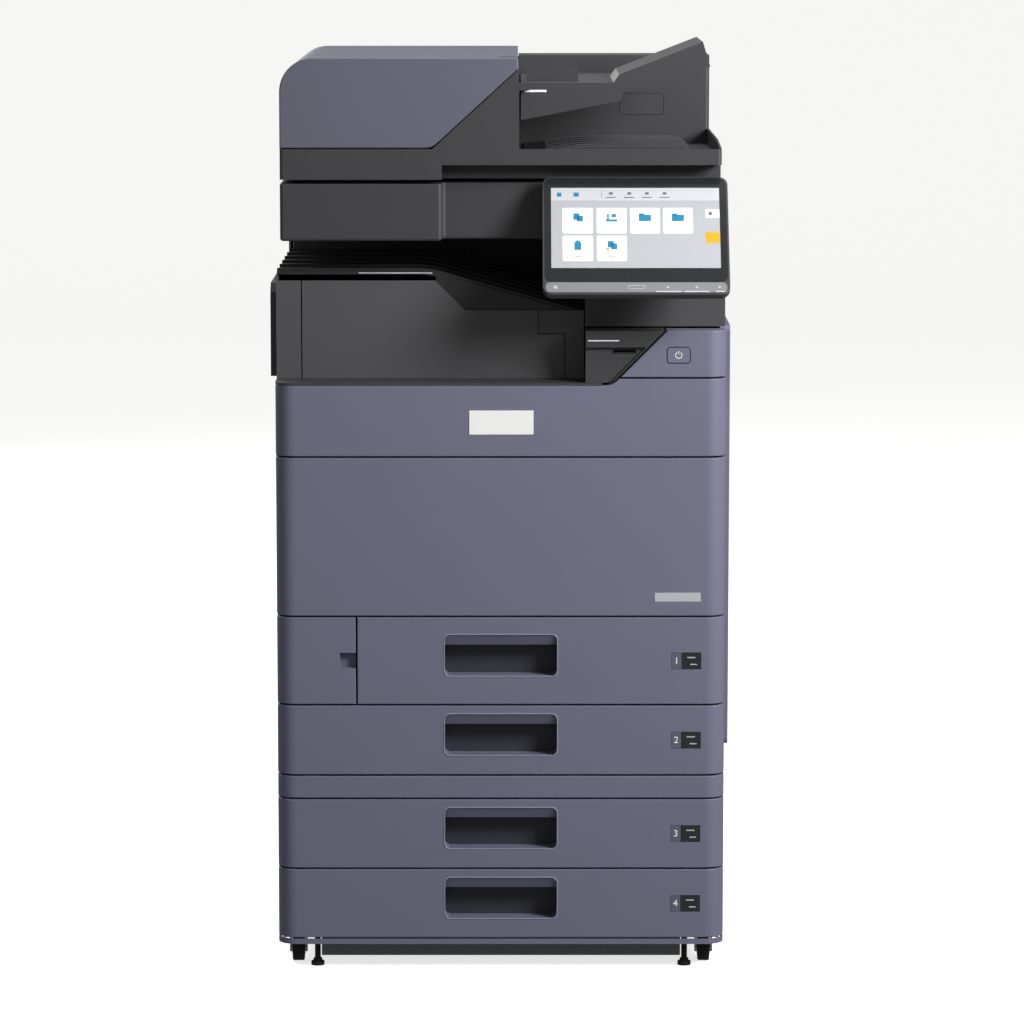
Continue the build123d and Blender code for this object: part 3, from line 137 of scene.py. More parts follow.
steel = {"shade": 0.86, "smoother": 0.08, "rougher": 0.1, "wear": 0.01, "grain": 0.0015, "depth": 0.00004}


def coldRolledSteel(name, settings):
    # cold-rolled and zinc plated: pale spangle cells a few millimetres wide make the metal glint unevenly
    material, tree, place = newMaterial(name)
    cells = addNode(
        tree, "ShaderNodeTexVoronoi", [("Scale", 1 / (settings["spangle"] * mm))], [("Vector", place)]
    )
    base = toLinear(settings["colour"])
    dark = tuple(c * steel["shade"] for c in base[:3]) + (1.0,)
    mix = addNode(
        tree,
        "ShaderNodeMix",
        [("data_type", "RGBA"), (6, dark), (7, base)],
        [(0, cells.outputs["Distance"])],
    )
    smooth = settings["roughness"] - steel["smoother"]
    rough = settings["roughness"] + steel["rougher"]
    shader = addNode(
        tree,
        "ShaderNodeBsdfPrincipled",
        [("Metallic", 1.0)],
        [
            ("Base Color", mix.outputs[2]),
            ("Roughness", variedRoughness(tree, place, smooth, rough, steel["wear"])),
            ("Normal", grainBump(tree, place, steel["grain"], steel["depth"])),
        ],
    )
    closeMaterial(tree, shader)
    return material


glass = {
    "ior": 1.52, "clear": 0.92, "patch": 0.2, "spread": 0.02,
    "smooth": 0.01, "smeared": 0.05, "smear": 0.04,
}


def floatGlass(name, settings):
    # float glass polished on both sides: clear with a sharp reflection, dulled only by faint wiping smears
    material, tree, place = newMaterial(name)
    shader = addNode(
        tree,
        "ShaderNodeBsdfPrincipled",
        [("IOR", glass["ior"]), ("Transmission Weight", glass["clear"])],
        [
            ("Base Color", variedColour(tree, place, settings["colour"], glass["patch"], glass["spread"])),
            ("Roughness", variedRoughness(tree, place, glass["smooth"], glass["smeared"], glass["smear"])),
        ],
    )
    closeMaterial(tree, shader)
    return material


display = {"ior": 1.5, "pitch": 0.001, "spread": 0.015, "roughness": 0.3}


def litDisplay(name, settings):
    # backlit LCD under antiglare film: an even glow with a faint pixel pitch, drawn at 1 mm so that it shows
    material, tree, place = newMaterial(name)
    colour = variedColour(tree, place, settings["colour"], display["pitch"], display["spread"])
    shader = addNode(
        tree,
        "ShaderNodeBsdfPrincipled",
        [
            ("IOR", display["ior"]),
            ("Emission Strength", settings["glow"]),
            ("Roughness", display["roughness"]),
        ],
        [("Base Color", colour), ("Emission Color", colour)],
    )
    closeMaterial(tree, shader)
    return material


# colour in sRGB, roughness, and the grain's width and depth in millimetres
finishes = {
    # injection-moulded outer covers, satin and evenly soft
    "violetAbs": {"colour": "#6d6d82", "roughness": 0.46, "grain": 1.4, "depth": 0.012},
    # the same moulding darkened as painted shade inside a finger pocket, so the recess reads deep
    "pocketShadeAbs": {"colour": "#33333e", "roughness": 0.5, "grain": 1.4, "depth": 0.012},
    # the feeder's cover, a little greyer than the body
    "feederAbs": {"colour": "#5f5f6e", "roughness": 0.48, "grain": 1.4, "depth": 0.012},
    # coarser grain that keeps dark covers from mirroring the lamps
    "blackAbs": {"colour": "#3a3a3c", "roughness": 0.5, "grain": 1.6, "depth": 0.02},
    # the bridge's front, a step lighter than the dark covers
    "bridgeAbs": {"colour": "#4d4d4f", "roughness": 0.48, "grain": 1.6, "depth": 0.02},
    # polished strip under the screen, with a brighter sheen
    "chinAbs": {"colour": "#7d7d82", "roughness": 0.32, "grain": 1.2, "depth": 0.006},
    # dark column, matt, between the bridge and the scanner in tone
    "columnAbs": {"colour": "#454547", "roughness": 0.5, "grain": 1.6, "depth": 0.02},
    # smoother, darker moulding that paper slides over
    "trayAbs": {"colour": "#262627", "roughness": 0.38, "grain": 1.6, "depth": 0.015},
    # fine semi-gloss frame round the glass
    "bezelAbs": {"colour": "#3c3c3f", "roughness": 0.3, "grain": 1.2, "depth": 0.006},
    # bare unpainted bins, pale and flat
    "greyAbs": {"colour": "#8f9092", "roughness": 0.5, "grain": 1.4, "depth": 0.015},
    # black-backed cover glass with a hard coat, the sharpest dark reflection here
    "coatedGlass": {"colour": "#26272a", "roughness": 0.13, "grain": 6.0, "depth": 0.001, "coat": 0.4},
    # cured tyre and foot rubber, deep matt black
    "rubber": {"colour": "#1d1d1e", "roughness": 0.78, "grain": 1.0, "depth": 0.05},
    # ground feed rollers, dusty matt grey
    "epdmRubber": {"colour": "#3a3a3d", "roughness": 0.7, "grain": 0.8, "depth": 0.04},
    # blow-moulded toner bottles, waxy and dark
    "polyethylene": {"colour": "#2d2d30", "roughness": 0.36, "grain": 2.0, "depth": 0.02},
    # rib pieces, a shade lighter than the table
    "rampRib": {"colour": "#4a4a4d", "roughness": 0.42, "grain": 1.4, "depth": 0.01},
    # nylon hub caps, grey against the tyre
    "hubNylon": {"colour": "#4c4c4f", "roughness": 0.42, "grain": 1.4, "depth": 0.01},
    # milky blow-moulded bottle, soft and pale
    "wasteBottle": {"colour": "#d6d5cd", "roughness": 0.34, "grain": 3.0, "depth": 0.03},
    # cast belt film, smooth, nearly black, glossy
    "polyimide": {"colour": "#1c1a19", "roughness": 0.2, "grain": 5.0, "depth": 0.004},
    # teal moulded handles that mark user parts
    "drumHousing": {"colour": "#2b5a63", "roughness": 0.3, "grain": 2.0, "depth": 0.01},
    # foam-backed white sheet, flat and bright
    "whiteMat": {"colour": "#e9e9e6", "roughness": 0.7, "grain": 1.2, "depth": 0.03},
    # printed white film, slightly glossy
    "labelFilm": {"colour": "#f3f3f2", "roughness": 0.35, "grain": 4.0, "depth": 0.003},
    # violet number plate, flatter than the cover
    "labelPlate": {"colour": "#5d5d70", "roughness": 0.4, "grain": 2.0, "depth": 0.003},
    # clear window over black, shiny
    "labelDark": {"colour": "#2b2b30", "roughness": 0.2, "grain": 4.0, "depth": 0.003},
    # screen-printed pale grey, flat
    "inkGrey": {"colour": "#b9b9be", "roughness": 0.4, "grain": 2.0, "depth": 0.003},
    # brushed silver foil, a dull glint
    "badgeFoil": {"colour": "#b7b8bd", "roughness": 0.3, "grain": 2.0, "depth": 0.004},
    # the violet moulding painted paler, a painted highlight along rounded lips
    "rimHighlightAbs": {"colour": "#8b8b9b", "roughness": 0.35, "grain": 1.4, "depth": 0.006},
    # coloured ring that names its toner
    "capCyan": {"colour": "#2a8fb0", "roughness": 0.4, "grain": 1.6, "depth": 0.01},
    # coloured ring that names its toner
    "capMagenta": {"colour": "#a83a72", "roughness": 0.4, "grain": 1.6, "depth": 0.01},
    # coloured ring that names its toner
    "capYellow": {"colour": "#d6b02c", "roughness": 0.4, "grain": 1.6, "depth": 0.01},
    # coloured ring that names its toner, and dark trim lines
    "capBlack": {"colour": "#2a2a2b", "roughness": 0.4, "grain": 1.6, "depth": 0.01},
}
materials = {name: mouldedPlastic(name, values) for name, values in finishes.items()}
materials["zincSteel"] = coldRolledSteel("zincSteel", {"colour": "#b4b7ba", "roughness": 0.34, "spangle": 6})
materials["darkSteel"] = coldRolledSteel("darkSteel", {"colour": "#77797c", "roughness": 0.4, "spangle": 5})
materials["floatGlass"] = floatGlass("floatGlass", {"colour": "#e6f0ec"})
glows = {
    "screenGrey": ("#a2a4a8", 0.2),
    "screenBar": ("#b4b6ba", 0.28),
    "screenTile": ("#d8d9da", 0.5),
    "screenBlue": ("#14789c", 0.22),
    "screenInk": ("#62656c", 0.15),
    "screenAmber": ("#e09416", 0.35),
}
for glowName, (glowColour, glow) in glows.items():
    materials[glowName] = litDisplay(glowName, {"colour": glowColour, "glow": glow})

worn = {
    "violetAbs": ["trim_strips", "upper_fascia", "power_panel", "front_door", "waste_door", "side_covers",
                  "rear_covers", "right_door", "multipurpose_tray", "power_button"]
    + [f"cassette_{n}_panel" for n in range(1, 5)],
    "feederAbs": ["feeder_cover"],
    "bridgeAbs": ["bridge_covers"],
    "blackAbs": ["usb_block", "ledge_cover", "rear_wall", "scanner_housing", "feeder_base",
                 "document_tray", "guide_front", "guide_rear", "power_inlet", "scanner_carriage"],
    "columnAbs": ["column_cover"],
    "trayAbs": ["inner_tray"],
    "bezelAbs": ["panel_housing"],
    "coatedGlass": ["panel_glass"],
    "greyAbs": [f"cassette_{n}_bin" for n in range(1, 5)],
    "zincSteel": ["frame", "cover_screws", "power_supply", "fuser"]
    + [f"cassette_{n}_lift_plate" for n in range(1, 5)]
    + [f"caster_fork_{n}" for n in range(1, 5)],
    "darkSteel": ["base_pan", "laser_unit"],
    "floatGlass": ["platen_glass"],
    "rubber": ["leveling_feet"] + [f"caster_wheel_{n}" for n in range(1, 5)],
    "epdmRubber": ["feed_rollers", "feeder_rollers"],
    "polyethylene": ["toner_containers"],
    "wasteBottle": ["waste_toner_box"],
    "polyimide": ["transfer_belt"],
    "drumHousing": ["drum_units"],
}
for finish, members in worn.items():
    for member in members:
        nodes[member].data.materials.clear()
        nodes[member].data.materials.append(materials[finish])

# the exit cover stands out from the left side and is moulded in black
sideMesh = nodes["side_covers"].data
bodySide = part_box("rear_covers")[1].x
faceMiddles = np.zeros(len(sideMesh.polygons) * 3)
sideMesh.polygons.foreach_get("center", faceMiddles)
onExitCover = faceMiddles.reshape(-1, 3)[:, 0] < -bodySide - 0.05 * mm
sideMesh.materials.append(materials["blackAbs"])
sideMesh.polygons.foreach_set("material_index", onExitCover.astype(np.int32))
print("finishes on", len(nodes), "CAD nodes")


def makePiece(name, points, faces, material, body, smooth=False):
    mesh = bpy.data.meshes.new(name)
    mesh.from_pydata(points.tolist(), [], faces)
    mesh.materials.append(materials[material])
    mesh.polygons.foreach_set("use_smooth", [smooth] * len(mesh.polygons))
    mesh.update()
    piece = bpy.data.objects.new(name, mesh)
    scene.collection.objects.link(piece)
    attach(piece, body)
    return piece


class Sheet:
    # a flat place on the machine: origin, across, up and outward directions
    def __init__(self, origin, across, up):
        self.origin = np.array(origin, float)
        self.across = np.array(across, float)
        self.up = np.array(up, float)
        self.out = np.cross(self.across, self.up)

    def lift(self, x, y, h):
        inPlane = np.multiply.outer(x, self.across) + np.multiply.outer(y, self.up)
        return self.origin + inPlane + np.multiply.outer(h, self.out)


def roundedLoop(width, height, corner, steps=6):
    # corner arcs of a rounded rectangle: centre (+-(w/2-r), +-(h/2-r)) plus r (cos t, sin t)
    turn = np.linspace(0, math.pi / 2, steps)
    quarter = np.arange(4)[:, None] * math.pi / 2
    angle = (quarter + turn[None, :]).ravel()
    signX = np.repeat([1, -1, -1, 1], steps)
    signY = np.repeat([1, 1, -1, -1], steps)
    x = signX * (width / 2 - corner) + corner * np.cos(angle)
    y = signY * (height / 2 - corner) + corner * np.sin(angle)
    return x, y


def plates(name, sheet, shapes, thick, material, body, bevel=0.0):
    # each shape (x, y, width, height, corner) rises from the sheet; its top ring steps in by the bevel
    allPoints, faces, start = [], [], 0
    for x, y, width, height, corner in shapes:
        rings = [(0.0, 0.0), (0.0, thick - bevel)] + ([(bevel, thick)] if bevel else [])
        for inset, rise in rings:
            loopX, loopY = roundedLoop(width - 2 * inset, height - 2 * inset, max(corner - inset, 1e-5))
            count = len(loopX)
            allPoints.append(sheet.lift(x + loopX, y + loopY, np.full(count, rise)))
        for ring in range(len(rings) - 1):
            a = start + ring * count
            faces += (a + gridFaces(2, count, False)).tolist()
        faces.append(tuple(start + i for i in reversed(range(count))))
        last = start + (len(rings) - 1) * count
        faces.append(tuple(last + i for i in range(count)))
        start += len(rings) * count
    return makePiece(name, np.concatenate(allPoints), faces, material, body)


def gridFaces(rows, columns, closedRows):
    # quads of a grid whose columns wrap round, and whose rows wrap when closedRows
    r = np.arange(rows if closedRows else rows - 1)[:, None]
    c = np.arange(columns)[None, :]
    nextR, nextC = (r + 1) % rows, (c + 1) % columns
    near, far = r * columns, nextR * columns
    return np.stack(np.broadcast_arrays(near + c, near + nextC, far + nextC, far + c), -1).reshape(-1, 4)


def rim(name, sheet, shape, width, height, material, body):
    # a half-round bead carried round a rounded rectangle: across width cos(t), out height sin(t)
    x, y, w, h, corner = shape
    t = np.linspace(0, math.pi, 7)
    offset, rise = width / 2 * np.cos(t), height * np.sin(t)
    rings = []
    for step, up in zip(offset, rise):
        loopX, loopY = roundedLoop(w + 2 * step, h + 2 * step, corner + step, 8)
        rings.append(sheet.lift(x + loopX, y + loopY, np.full(len(loopX), up)))
    points = np.stack(rings)
    rows, columns = points.shape[:2]
    faces = gridFaces(rows, columns, True)
    return makePiece(name, points.reshape(-1, 3), faces.tolist(), material, body, True)


def turned(name, sheet, x, y, profile, material, body, steps=40):
    # a profile of (radius, height) turned round the sheet's outward axis, closed by flat ends
    radius, height = np.array(profile, float).T
    angle = np.linspace(0, 2 * math.pi, steps, endpoint=False)
    ringX = x + radius[:, None] * np.cos(angle)
    ringY = y + radius[:, None] * np.sin(angle)
    points = sheet.lift(ringX, ringY, np.repeat(height[:, None], steps, 1)).reshape(-1, 3)
    faces = gridFaces(len(radius), steps, False).tolist()
    faces.append(tuple(reversed(range(steps))))
    last = (len(radius) - 1) * steps
    faces.append(tuple(last + i for i in range(steps)))
    return makePiece(name, points, faces, material, body)


def swept(name, section, stations, material, body):
    # a closed (x, z) outline carried along Y, one copy at each station, with flat ends
    x, z = np.array(section, float).T
    rings = [np.stack([x, np.full(len(x), y), z], 1) for y in stations]
    faces = gridFaces(len(stations), len(x), False).tolist()
    last = (len(stations) - 1) * len(x)
    faces += [tuple(reversed(range(len(x)))), tuple(last + i for i in range(len(x)))]
    return makePiece(name, np.concatenate(rings), faces, material, body)


def middle(node):
    low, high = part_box(node)
    return (low + high) / 2


def raised(sheet, height):
    return Sheet(sheet.origin + sheet.out * height, sheet.across, sheet.up)


def area(settings, origin):
    # middle, size and corner in millimetres from the origin, as the shape that plates and rim take
    across, up = settings["middle"]
    width, height = settings["size"]
    return (origin[0] + across * mm, origin[1] + up * mm, width * mm, height * mm, settings["corner"] * mm)


def lowPlate(name, sheet, settings, material, body, origin=(0, 0)):
    bevel = settings.get("bevel", 0.0) * mm
    plates(name, sheet, [area(settings, origin)], settings["rise"] * mm, material, body, bevel)


def bead(name, sheet, settings, material, body, origin=(0, 0)):
    shape = area(settings, origin)
    rim(name, sheet, shape, settings["width"] * mm, settings["rise"] * mm, material, body)


# front sheet: x across, z up, facing the user
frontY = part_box("upper_fascia")[0].y
frontSheet = Sheet((0, frontY, 0), (1, 0, 0), (0, 0, 1))

# touch panel screen: u runs right and v runs down over the lit area, both from 0 to 1
screen = {
    "lean": 37.0, "thick": 13 * mm, "width": 222.7 * mm, "height": 125.3 * mm, "bottom": 39.2 * mm,
    "layer": 0.25 * mm, "hairline": 0.1 * mm, "corner": 2.2 * mm, "bar": (0.0, 0.16),
    "rows": [(0.252, 0.571), (0.60, 0.916)],
    "columns": [(0.067, 0.247), (0.27, 0.447), (0.468, 0.645), (0.665, 0.84)],
    "sideTile": (0.915, 0.999, 0.27, 0.375), "start": (0.915, 0.999, 0.555, 0.69), "sideCorner": 1 * mm,
}
lean = math.radians(screen["lean"])
panelLow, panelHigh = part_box("panel_housing")
panelFoot = panelLow.z + screen["thick"] * math.sin(lean)
panelOrigin = ((panelLow.x + panelHigh.x) / 2, panelLow.y, panelFoot)
panelSheet = Sheet(panelOrigin, (1, 0, 0), (0, math.sin(lean), math.cos(lean)))
layer = screen["layer"]


def onScreen(u0, u1, v0, v1, corner=screen["hairline"]):
    x = ((u0 + u1) / 2 - 0.5) * screen["width"]
    y = screen["bottom"] + (1 - (v0 + v1) / 2) * screen["height"]
    return (x, y, (u1 - u0) * screen["width"], (v1 - v0) * screen["height"], corner)


def onPanel(name, level, shapes, material):
    plates(name, raised(panelSheet, level * layer), shapes, layer, material, "touch_panel")


topRow, bottomRow = screen["rows"]
tiles = [onScreen(*column, *topRow, screen["corner"]) for column in screen["columns"]]
tiles += [onScreen(*column, *bottomRow, screen["corner"]) for column in screen["columns"][:2]]
onPanel("screen_background", 0, [onScreen(0, 1, 0, 1)], "screenGrey")
onPanel("screen_bar", 1, [onScreen(0, 1, *screen["bar"])], "screenBar")
onPanel("screen_tiles", 1, tiles + [onScreen(*screen["sideTile"], screen["sideCorner"])], "screenTile")
onPanel("screen_start", 1, [onScreen(*screen["start"], screen["sideCorner"])], "screenAmber")

# icons as (across, up, width, height, corner) in millimetres from the tile's own icon place
icon = {
    "rise": 0.13, "captionDrop": 0.33, "caption": (9, 0.9, 0.3),
    "sheets": [(-1.5, 1.2, 8, 10, 1.5), (3, -2, 8, 9, 1)],
    "flatbed": [(0, -5, 15, 3.4, 1), (-4.6, 1, 2.2, 9, 0.5), (3, 2.6, 6, 5, 1)],
    "folder": [(0, -1, 16, 10, 1), (-4.5, 4.5, 7, 3, 0.8)],
    "memory": [(0, -1.5, 9, 12, 1), (0, 6, 6, 2.4, 0.4)],
    "marker": (-5.5, -1, 4, 3, 0.5),
}
tileIcons = ["sheets", "flatbed", "folder", "folder", "memory", "sheets"]
# marks on the bar as u and v ranges
barMarks = {
    "icons": [(0.035, 0.062, 0.06, 0.11), (0.135, 0.165, 0.06, 0.11)], "iconCorner": 0.6 * mm,
    "tabs": (0.345, 0.455, 0.56, 0.665), "tabWidth": 0.022, "tab": (0.055, 0.085), "tabCorner": 0.4 * mm,
    "lineReach": (0.02, 0.04), "line": (0.115, 0.125), "divider": (0.3, 0.302, 0.04, 0.13),
    "sideMark": (0.935, 0.955, 0.3, 0.345),
}


def offset(x, y, shape):
    across, up, width, height, corner = shape
    return (x + across * mm, y + up * mm, width * mm, height * mm, corner * mm)


icons, inks = [], []
for (x, y, _, height, _), kind in zip(tiles, tileIcons):
    icons += [offset(x, y + height * icon["rise"], shape) for shape in icon[kind]]
    inks.append(offset(x, y - height * icon["captionDrop"], (0, 0, *icon["caption"])))
icons += [onScreen(*place, barMarks["iconCorner"]) for place in barMarks["icons"]]
before, after = barMarks["lineReach"]
tabEnd = (*barMarks["tab"], barMarks["tabCorner"])
inks += [onScreen(u, u + barMarks["tabWidth"], *tabEnd) for u in barMarks["tabs"]]
inks += [onScreen(u - before, u + after, *barMarks["line"]) for u in barMarks["tabs"]]
inks += [onScreen(*barMarks["divider"]), onScreen(*barMarks["sideMark"], barMarks["iconCorner"])]
onPanel("screen_icons", 2, icons, "screenBlue")
onPanel("screen_lines", 2, inks, "screenInk")
onPanel("screen_marker", 3, [offset(*tiles[5][:2], icon["marker"])], "screenAmber")

# the strip under the screen, with its marks, sensor window and status lamps
chin = {
    "strip": {"middle": (0, 9.4), "size": (238, 15.5), "corner": 6, "rise": 0.15},
    "sensor": {"middle": (0, 9.5), "size": (22, 5), "corner": 2.4, "width": 1, "rise": 0.5},
    "marks": [(-106, 9.5, 4.5, 4.5, 0.6), (41, 9.5, 3, 3, 1.2), (79, 9.5, 3, 3, 1.2), (109, 9.5, 3, 3, 1.2)],
    "lamps": [(42.5, 2.6, 34, 2, 0.6), (79, 2.6, 33, 2, 0.6), (110, 2.6, 12, 2, 0.6)],
    "lift": 0.1 * mm,
}
chinSheet = raised(panelSheet, chin["lift"])
lowPlate("chin_panel", panelSheet, chin["strip"], "chinAbs", "touch_panel")
marks = [offset(0, 0, shape) for shape in chin["marks"]]
plates("chin_marks", chinSheet, marks, layer, "inkGrey", "touch_panel")
bead("chin_sensor", chinSheet, chin["sensor"], "badgeFoil", "touch_panel")
statusLamps = [offset(0, 0, shape) for shape in chin["lamps"]]
plates("chin_lamps", chinSheet, statusLamps, 2 * layer, "inkGrey", "touch_panel")
print("touch panel screen")

# labels, finger pocket lips painted paler as a painted highlight, and dark liners at the pockets' backs as
# painted shade, on the cassettes
cassette = {
    "handleWidth": 152 * mm, "handleHeight": 57 * mm, "handleRise": 7.5 * mm, "corner": 8 * mm,
    "rimWidth": 1.8 * mm, "rimRise": 0.9 * mm, "rimSink": 0.2 * mm,
    "shadeLinerDepth": 32.8 * mm, "shadeLinerGap": 1 * mm, "shadeLinerCorner": 7.5 * mm, "shadeLinerThick": 0.5 * mm,
    "labelX": 248.7 * mm, "labelWidth": 39.4 * mm, "labelHeight": 22.4 * mm, "labelCorner": 0.8 * mm,
    "labelThick": 0.9 * mm, "bevel": 0.2 * mm, "recess": 1.2 * mm, "windowGap": 0.3 * mm,
}
# the two bars: thirds of the label from its left end, height over its middle, width
bar = {
    "places": [(2, 4.6 * mm, 11 * mm), (2.25, -4.8 * mm, 9 * mm)],
    "height": 1.6 * mm, "corner": 0.3 * mm, "sink": 0.3 * mm, "thick": 0.15 * mm,
}
digit = {"size": 13 * mm, "halfThick": 0.1 * mm, "sink": 0.2 * mm, "weld": 0.001 * mm}
handleSize = (cassette["handleWidth"], cassette["handleHeight"])
shadeLinerSize = [size - cassette["shadeLinerGap"] for size in handleSize]
third = cassette["labelWidth"] / 3
left = cassette["labelX"] - cassette["labelWidth"] / 2
labelEnd = (cassette["labelHeight"], cassette["labelCorner"])
rimSheet = raised(frontSheet, -cassette["rimSink"])
shadeLinerSheet = raised(frontSheet, -cassette["shadeLinerDepth"])
recessSheet = raised(frontSheet, -cassette["recess"])
barSheet = raised(frontSheet, -bar["sink"])
digitSheet = raised(frontSheet, -digit["sink"])
for number in range(1, 5):
    body = f"cassette_{number}"
    z = middle(f"cassette_{number}_panel").z
    handleZ = z + cassette["handleRise"]
    lip = (0, handleZ, *handleSize, cassette["corner"])
    # the lip's bead is painted paler than the cover, a painted highlight along the pocket's edge
    rim(f"handle_rim_{number}", rimSheet, lip, cassette["rimWidth"], cassette["rimRise"], "rimHighlightAbs", body)
    # a dark sheet set at the back of the finger pocket: painted shade, so the recess reads deep
    shadeLiner = (0, handleZ, *shadeLinerSize, cassette["shadeLinerCorner"])
    bevel = cassette["bevel"]
    plates(f"handle_shade_liner_{number}", shadeLinerSheet, [shadeLiner], cassette["shadeLinerThick"], "pocketShadeAbs", body, bevel)
    thick = cassette["labelThick"]
    numberPlate = (left + third / 2, z, third, *labelEnd)
    plates(f"label_number_{number}", recessSheet, [numberPlate], thick, "labelPlate", body, bevel)
    gap = cassette["windowGap"]
    window = (left + 2 * third + gap, z, 2 * third - 2 * gap, *labelEnd)
    plates(f"label_window_{number}", recessSheet, [window], thick, "labelDark", body, bevel)
    barEnd = (bar["height"], bar["corner"])
    bars = [(left + t * third, z + up, width, *barEnd) for t, up, width in bar["places"]]
    plates(f"label_bars_{number}", barSheet, bars, bar["thick"], "inkGrey", body)
    curve = bpy.data.curves.new(f"digit_{number}", "FONT")
    curve.body = str(number)
    curve.size = digit["size"]
    curve.align_x, curve.align_y = "CENTER", "CENTER"
    curve.extrude = digit["halfThick"]
    holder = bpy.data.objects.new("holder", curve)
    scene.collection.objects.link(holder)
    bpy.context.view_layer.update()
    shaped = holder.evaluated_get(bpy.context.evaluated_depsgraph_get())
    digitMesh = bpy.data.meshes.new_from_object(shaped)
    bpy.data.objects.remove(holder)
    # the outline's front, back and sides come apart from one another, so they are welded into one solid
    solid = bmesh.new()
    solid.from_mesh(digitMesh)
    bmesh.ops.remove_doubles(solid, verts=solid.verts, dist=digit["weld"])
    solid.to_mesh(digitMesh)
    solid.free()
    flat = np.zeros(len(digitMesh.vertices) * 3)
    digitMesh.vertices.foreach_get("co", flat)
    flat = flat.reshape(-1, 3)
    stood = digitSheet.lift(flat[:, 0] + left + third / 2, flat[:, 1] + z, flat[:, 2])
    digitMesh.vertices.foreach_set("co", stood.ravel())
    digitMesh.materials.clear()
    digitMesh.materials.append(materials["labelFilm"])
    digitMesh.update()
    numeral = bpy.data.objects.new(f"label_digit_{number}", digitMesh)
    scene.collection.objects.link(numeral)
    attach(numeral, body)
print("cassette labels")

# blank plates on the fascia and the front door, and the finger strip on the fascia's right side
fasciaLow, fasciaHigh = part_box("upper_fascia")
plate = {"middle": (0.8, 745.6), "size": (85.6, 32.2), "corner": 1, "rise": 0.8, "bevel": 0.25}
badge = {"middle": (236.6, 510.4), "size": (61.6, 12.1), "corner": 1, "rise": 0.6, "bevel": 0.2}
grip = {"middle": (32.5, 753), "size": (11, 44), "corner": 3, "rise": 0.4, "bevel": 0.15}
lowPlate("blank_plate", frontSheet, plate, "labelFilm", "root")
lowPlate("blank_badge", frontSheet, badge, "badgeFoil", "front_door")
gripSheet = Sheet((fasciaHigh.x, 0, 0), (0, 1, 0), (0, 0, 1))
# the finger strip takes the same paler copy of the violet moulding, a painted highlight
lowPlate("side_grip", gripSheet, grip, "rimHighlightAbs", "root", (fasciaLow.y, 0))

# power symbol and the line round its button: the arc is open by the gap, in degrees, each side of the top
buttonMiddle = middle("power_button")
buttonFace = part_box("power_button")[0].y
buttonSheet = Sheet((buttonMiddle.x, buttonFace, buttonMiddle.z), (1, 0, 0), (0, 0, 1))
arc = {"radius": 4.2 * mm, "width": 0.9 * mm, "gap": 35.0, "steps": 28, "rise": 0.2 * mm}
stroke = {"middle": (0, 3.4), "size": (0.9, 4.2), "corner": 0.4, "rise": 0.2}
buttonLine = {"middle": (0, 0), "size": (31.2, 21.6), "corner": 4.6, "width": 1.0, "rise": 0.5}
turnArc = np.radians(np.linspace(90 + arc["gap"], 450 - arc["gap"], arc["steps"]))
inner, outer = arc["radius"] - arc["width"] / 2, arc["radius"] + arc["width"] / 2
section = [(outer, 0.0), (outer, arc["rise"]), (inner, arc["rise"]), (inner, 0.0)]
arcLines = []
for radius, height in section:
    level = np.full(arc["steps"], height)
    arcLines.append(buttonSheet.lift(radius * np.cos(turnArc), radius * np.sin(turnArc), level))
arcPoints = np.stack(arcLines, 1)
arcFaces = gridFaces(arc["steps"], 4, False)[:, ::-1].tolist()
arcFaces += [(0, 1, 2, 3), tuple(4 * (arc["steps"] - 1) + i for i in reversed(range(4)))]
makePiece("power_arc", arcPoints.reshape(-1, 3), arcFaces, "labelFilm", "power_button")
lowPlate("power_bar", buttonSheet, stroke, "labelFilm", "power_button")
bead("power_rim", frontSheet, buttonLine, "capBlack", "root", (buttonMiddle.x, buttonMiddle.z))

# marks on the USB block, on its face and on the step behind it
usb = {
    "step": 6 * mm, "dotX": 160.5, "dotZ": 831, "dotGap": 4, "dotSteps": 16,
    "strip": {"middle": (136.5, 855), "size": (42, 1.8), "corner": 0.6, "rise": 0.3},
    "rim": {"middle": (164.5, 840.5), "size": (31, 5), "corner": 0.6, "width": 1.6, "rise": 0.8},
    "dot": [(0.9 * mm, 0), (0.9 * mm, 0.3 * mm), (0.6 * mm, 0.4 * mm)],
}
usbSheet = Sheet((0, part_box("usb_block")[0].y, 0), (1, 0, 0), (0, 0, 1))
stepSheet = raised(usbSheet, -usb["step"])
lowPlate("usb_strip", usbSheet, usb["strip"], "labelFilm", "root")
bead("usb_rim", stepSheet, usb["rim"], "capBlack", "root")
for place in range(3):
    dotX, dotZ = (usb["dotX"] + usb["dotGap"] * place) * mm, usb["dotZ"] * mm
    turned(f"usb_dot_{place + 1}", stepSheet, dotX, dotZ, usb["dot"], "capBlack", "root", usb["dotSteps"])

# strip on the exit cover, sunk by its own thickness so that it stays flush, and a pale strip on the output
# tray's front edge, a painted highlight
exitStrip = {"middle": (174, 841.5), "size": (12, 47), "corner": 2, "rise": 0.2}
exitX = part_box("side_covers")[0].x
exitSheet = raised(Sheet((exitX, 0, 0), (0, -1, 0), (0, 0, 1)), -exitStrip["rise"] * mm)
lowPlate("exit_strip", exitSheet, exitStrip, "violetAbs", "root")
# pale grey strip along the tray plate's front edge: a painted highlight where the edge catches the light
trayEdgeHighlight = {"middle": (-141, 940), "size": (99, 1.6), "corner": 0.5, "rise": 0.3}
traySheet = Sheet((0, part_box("inner_tray")[0].y, 0), (1, 0, 0), (0, 0, 1))
lowPlate("tray_edge_highlight", traySheet, trayEdgeHighlight, "inkGrey", "root")

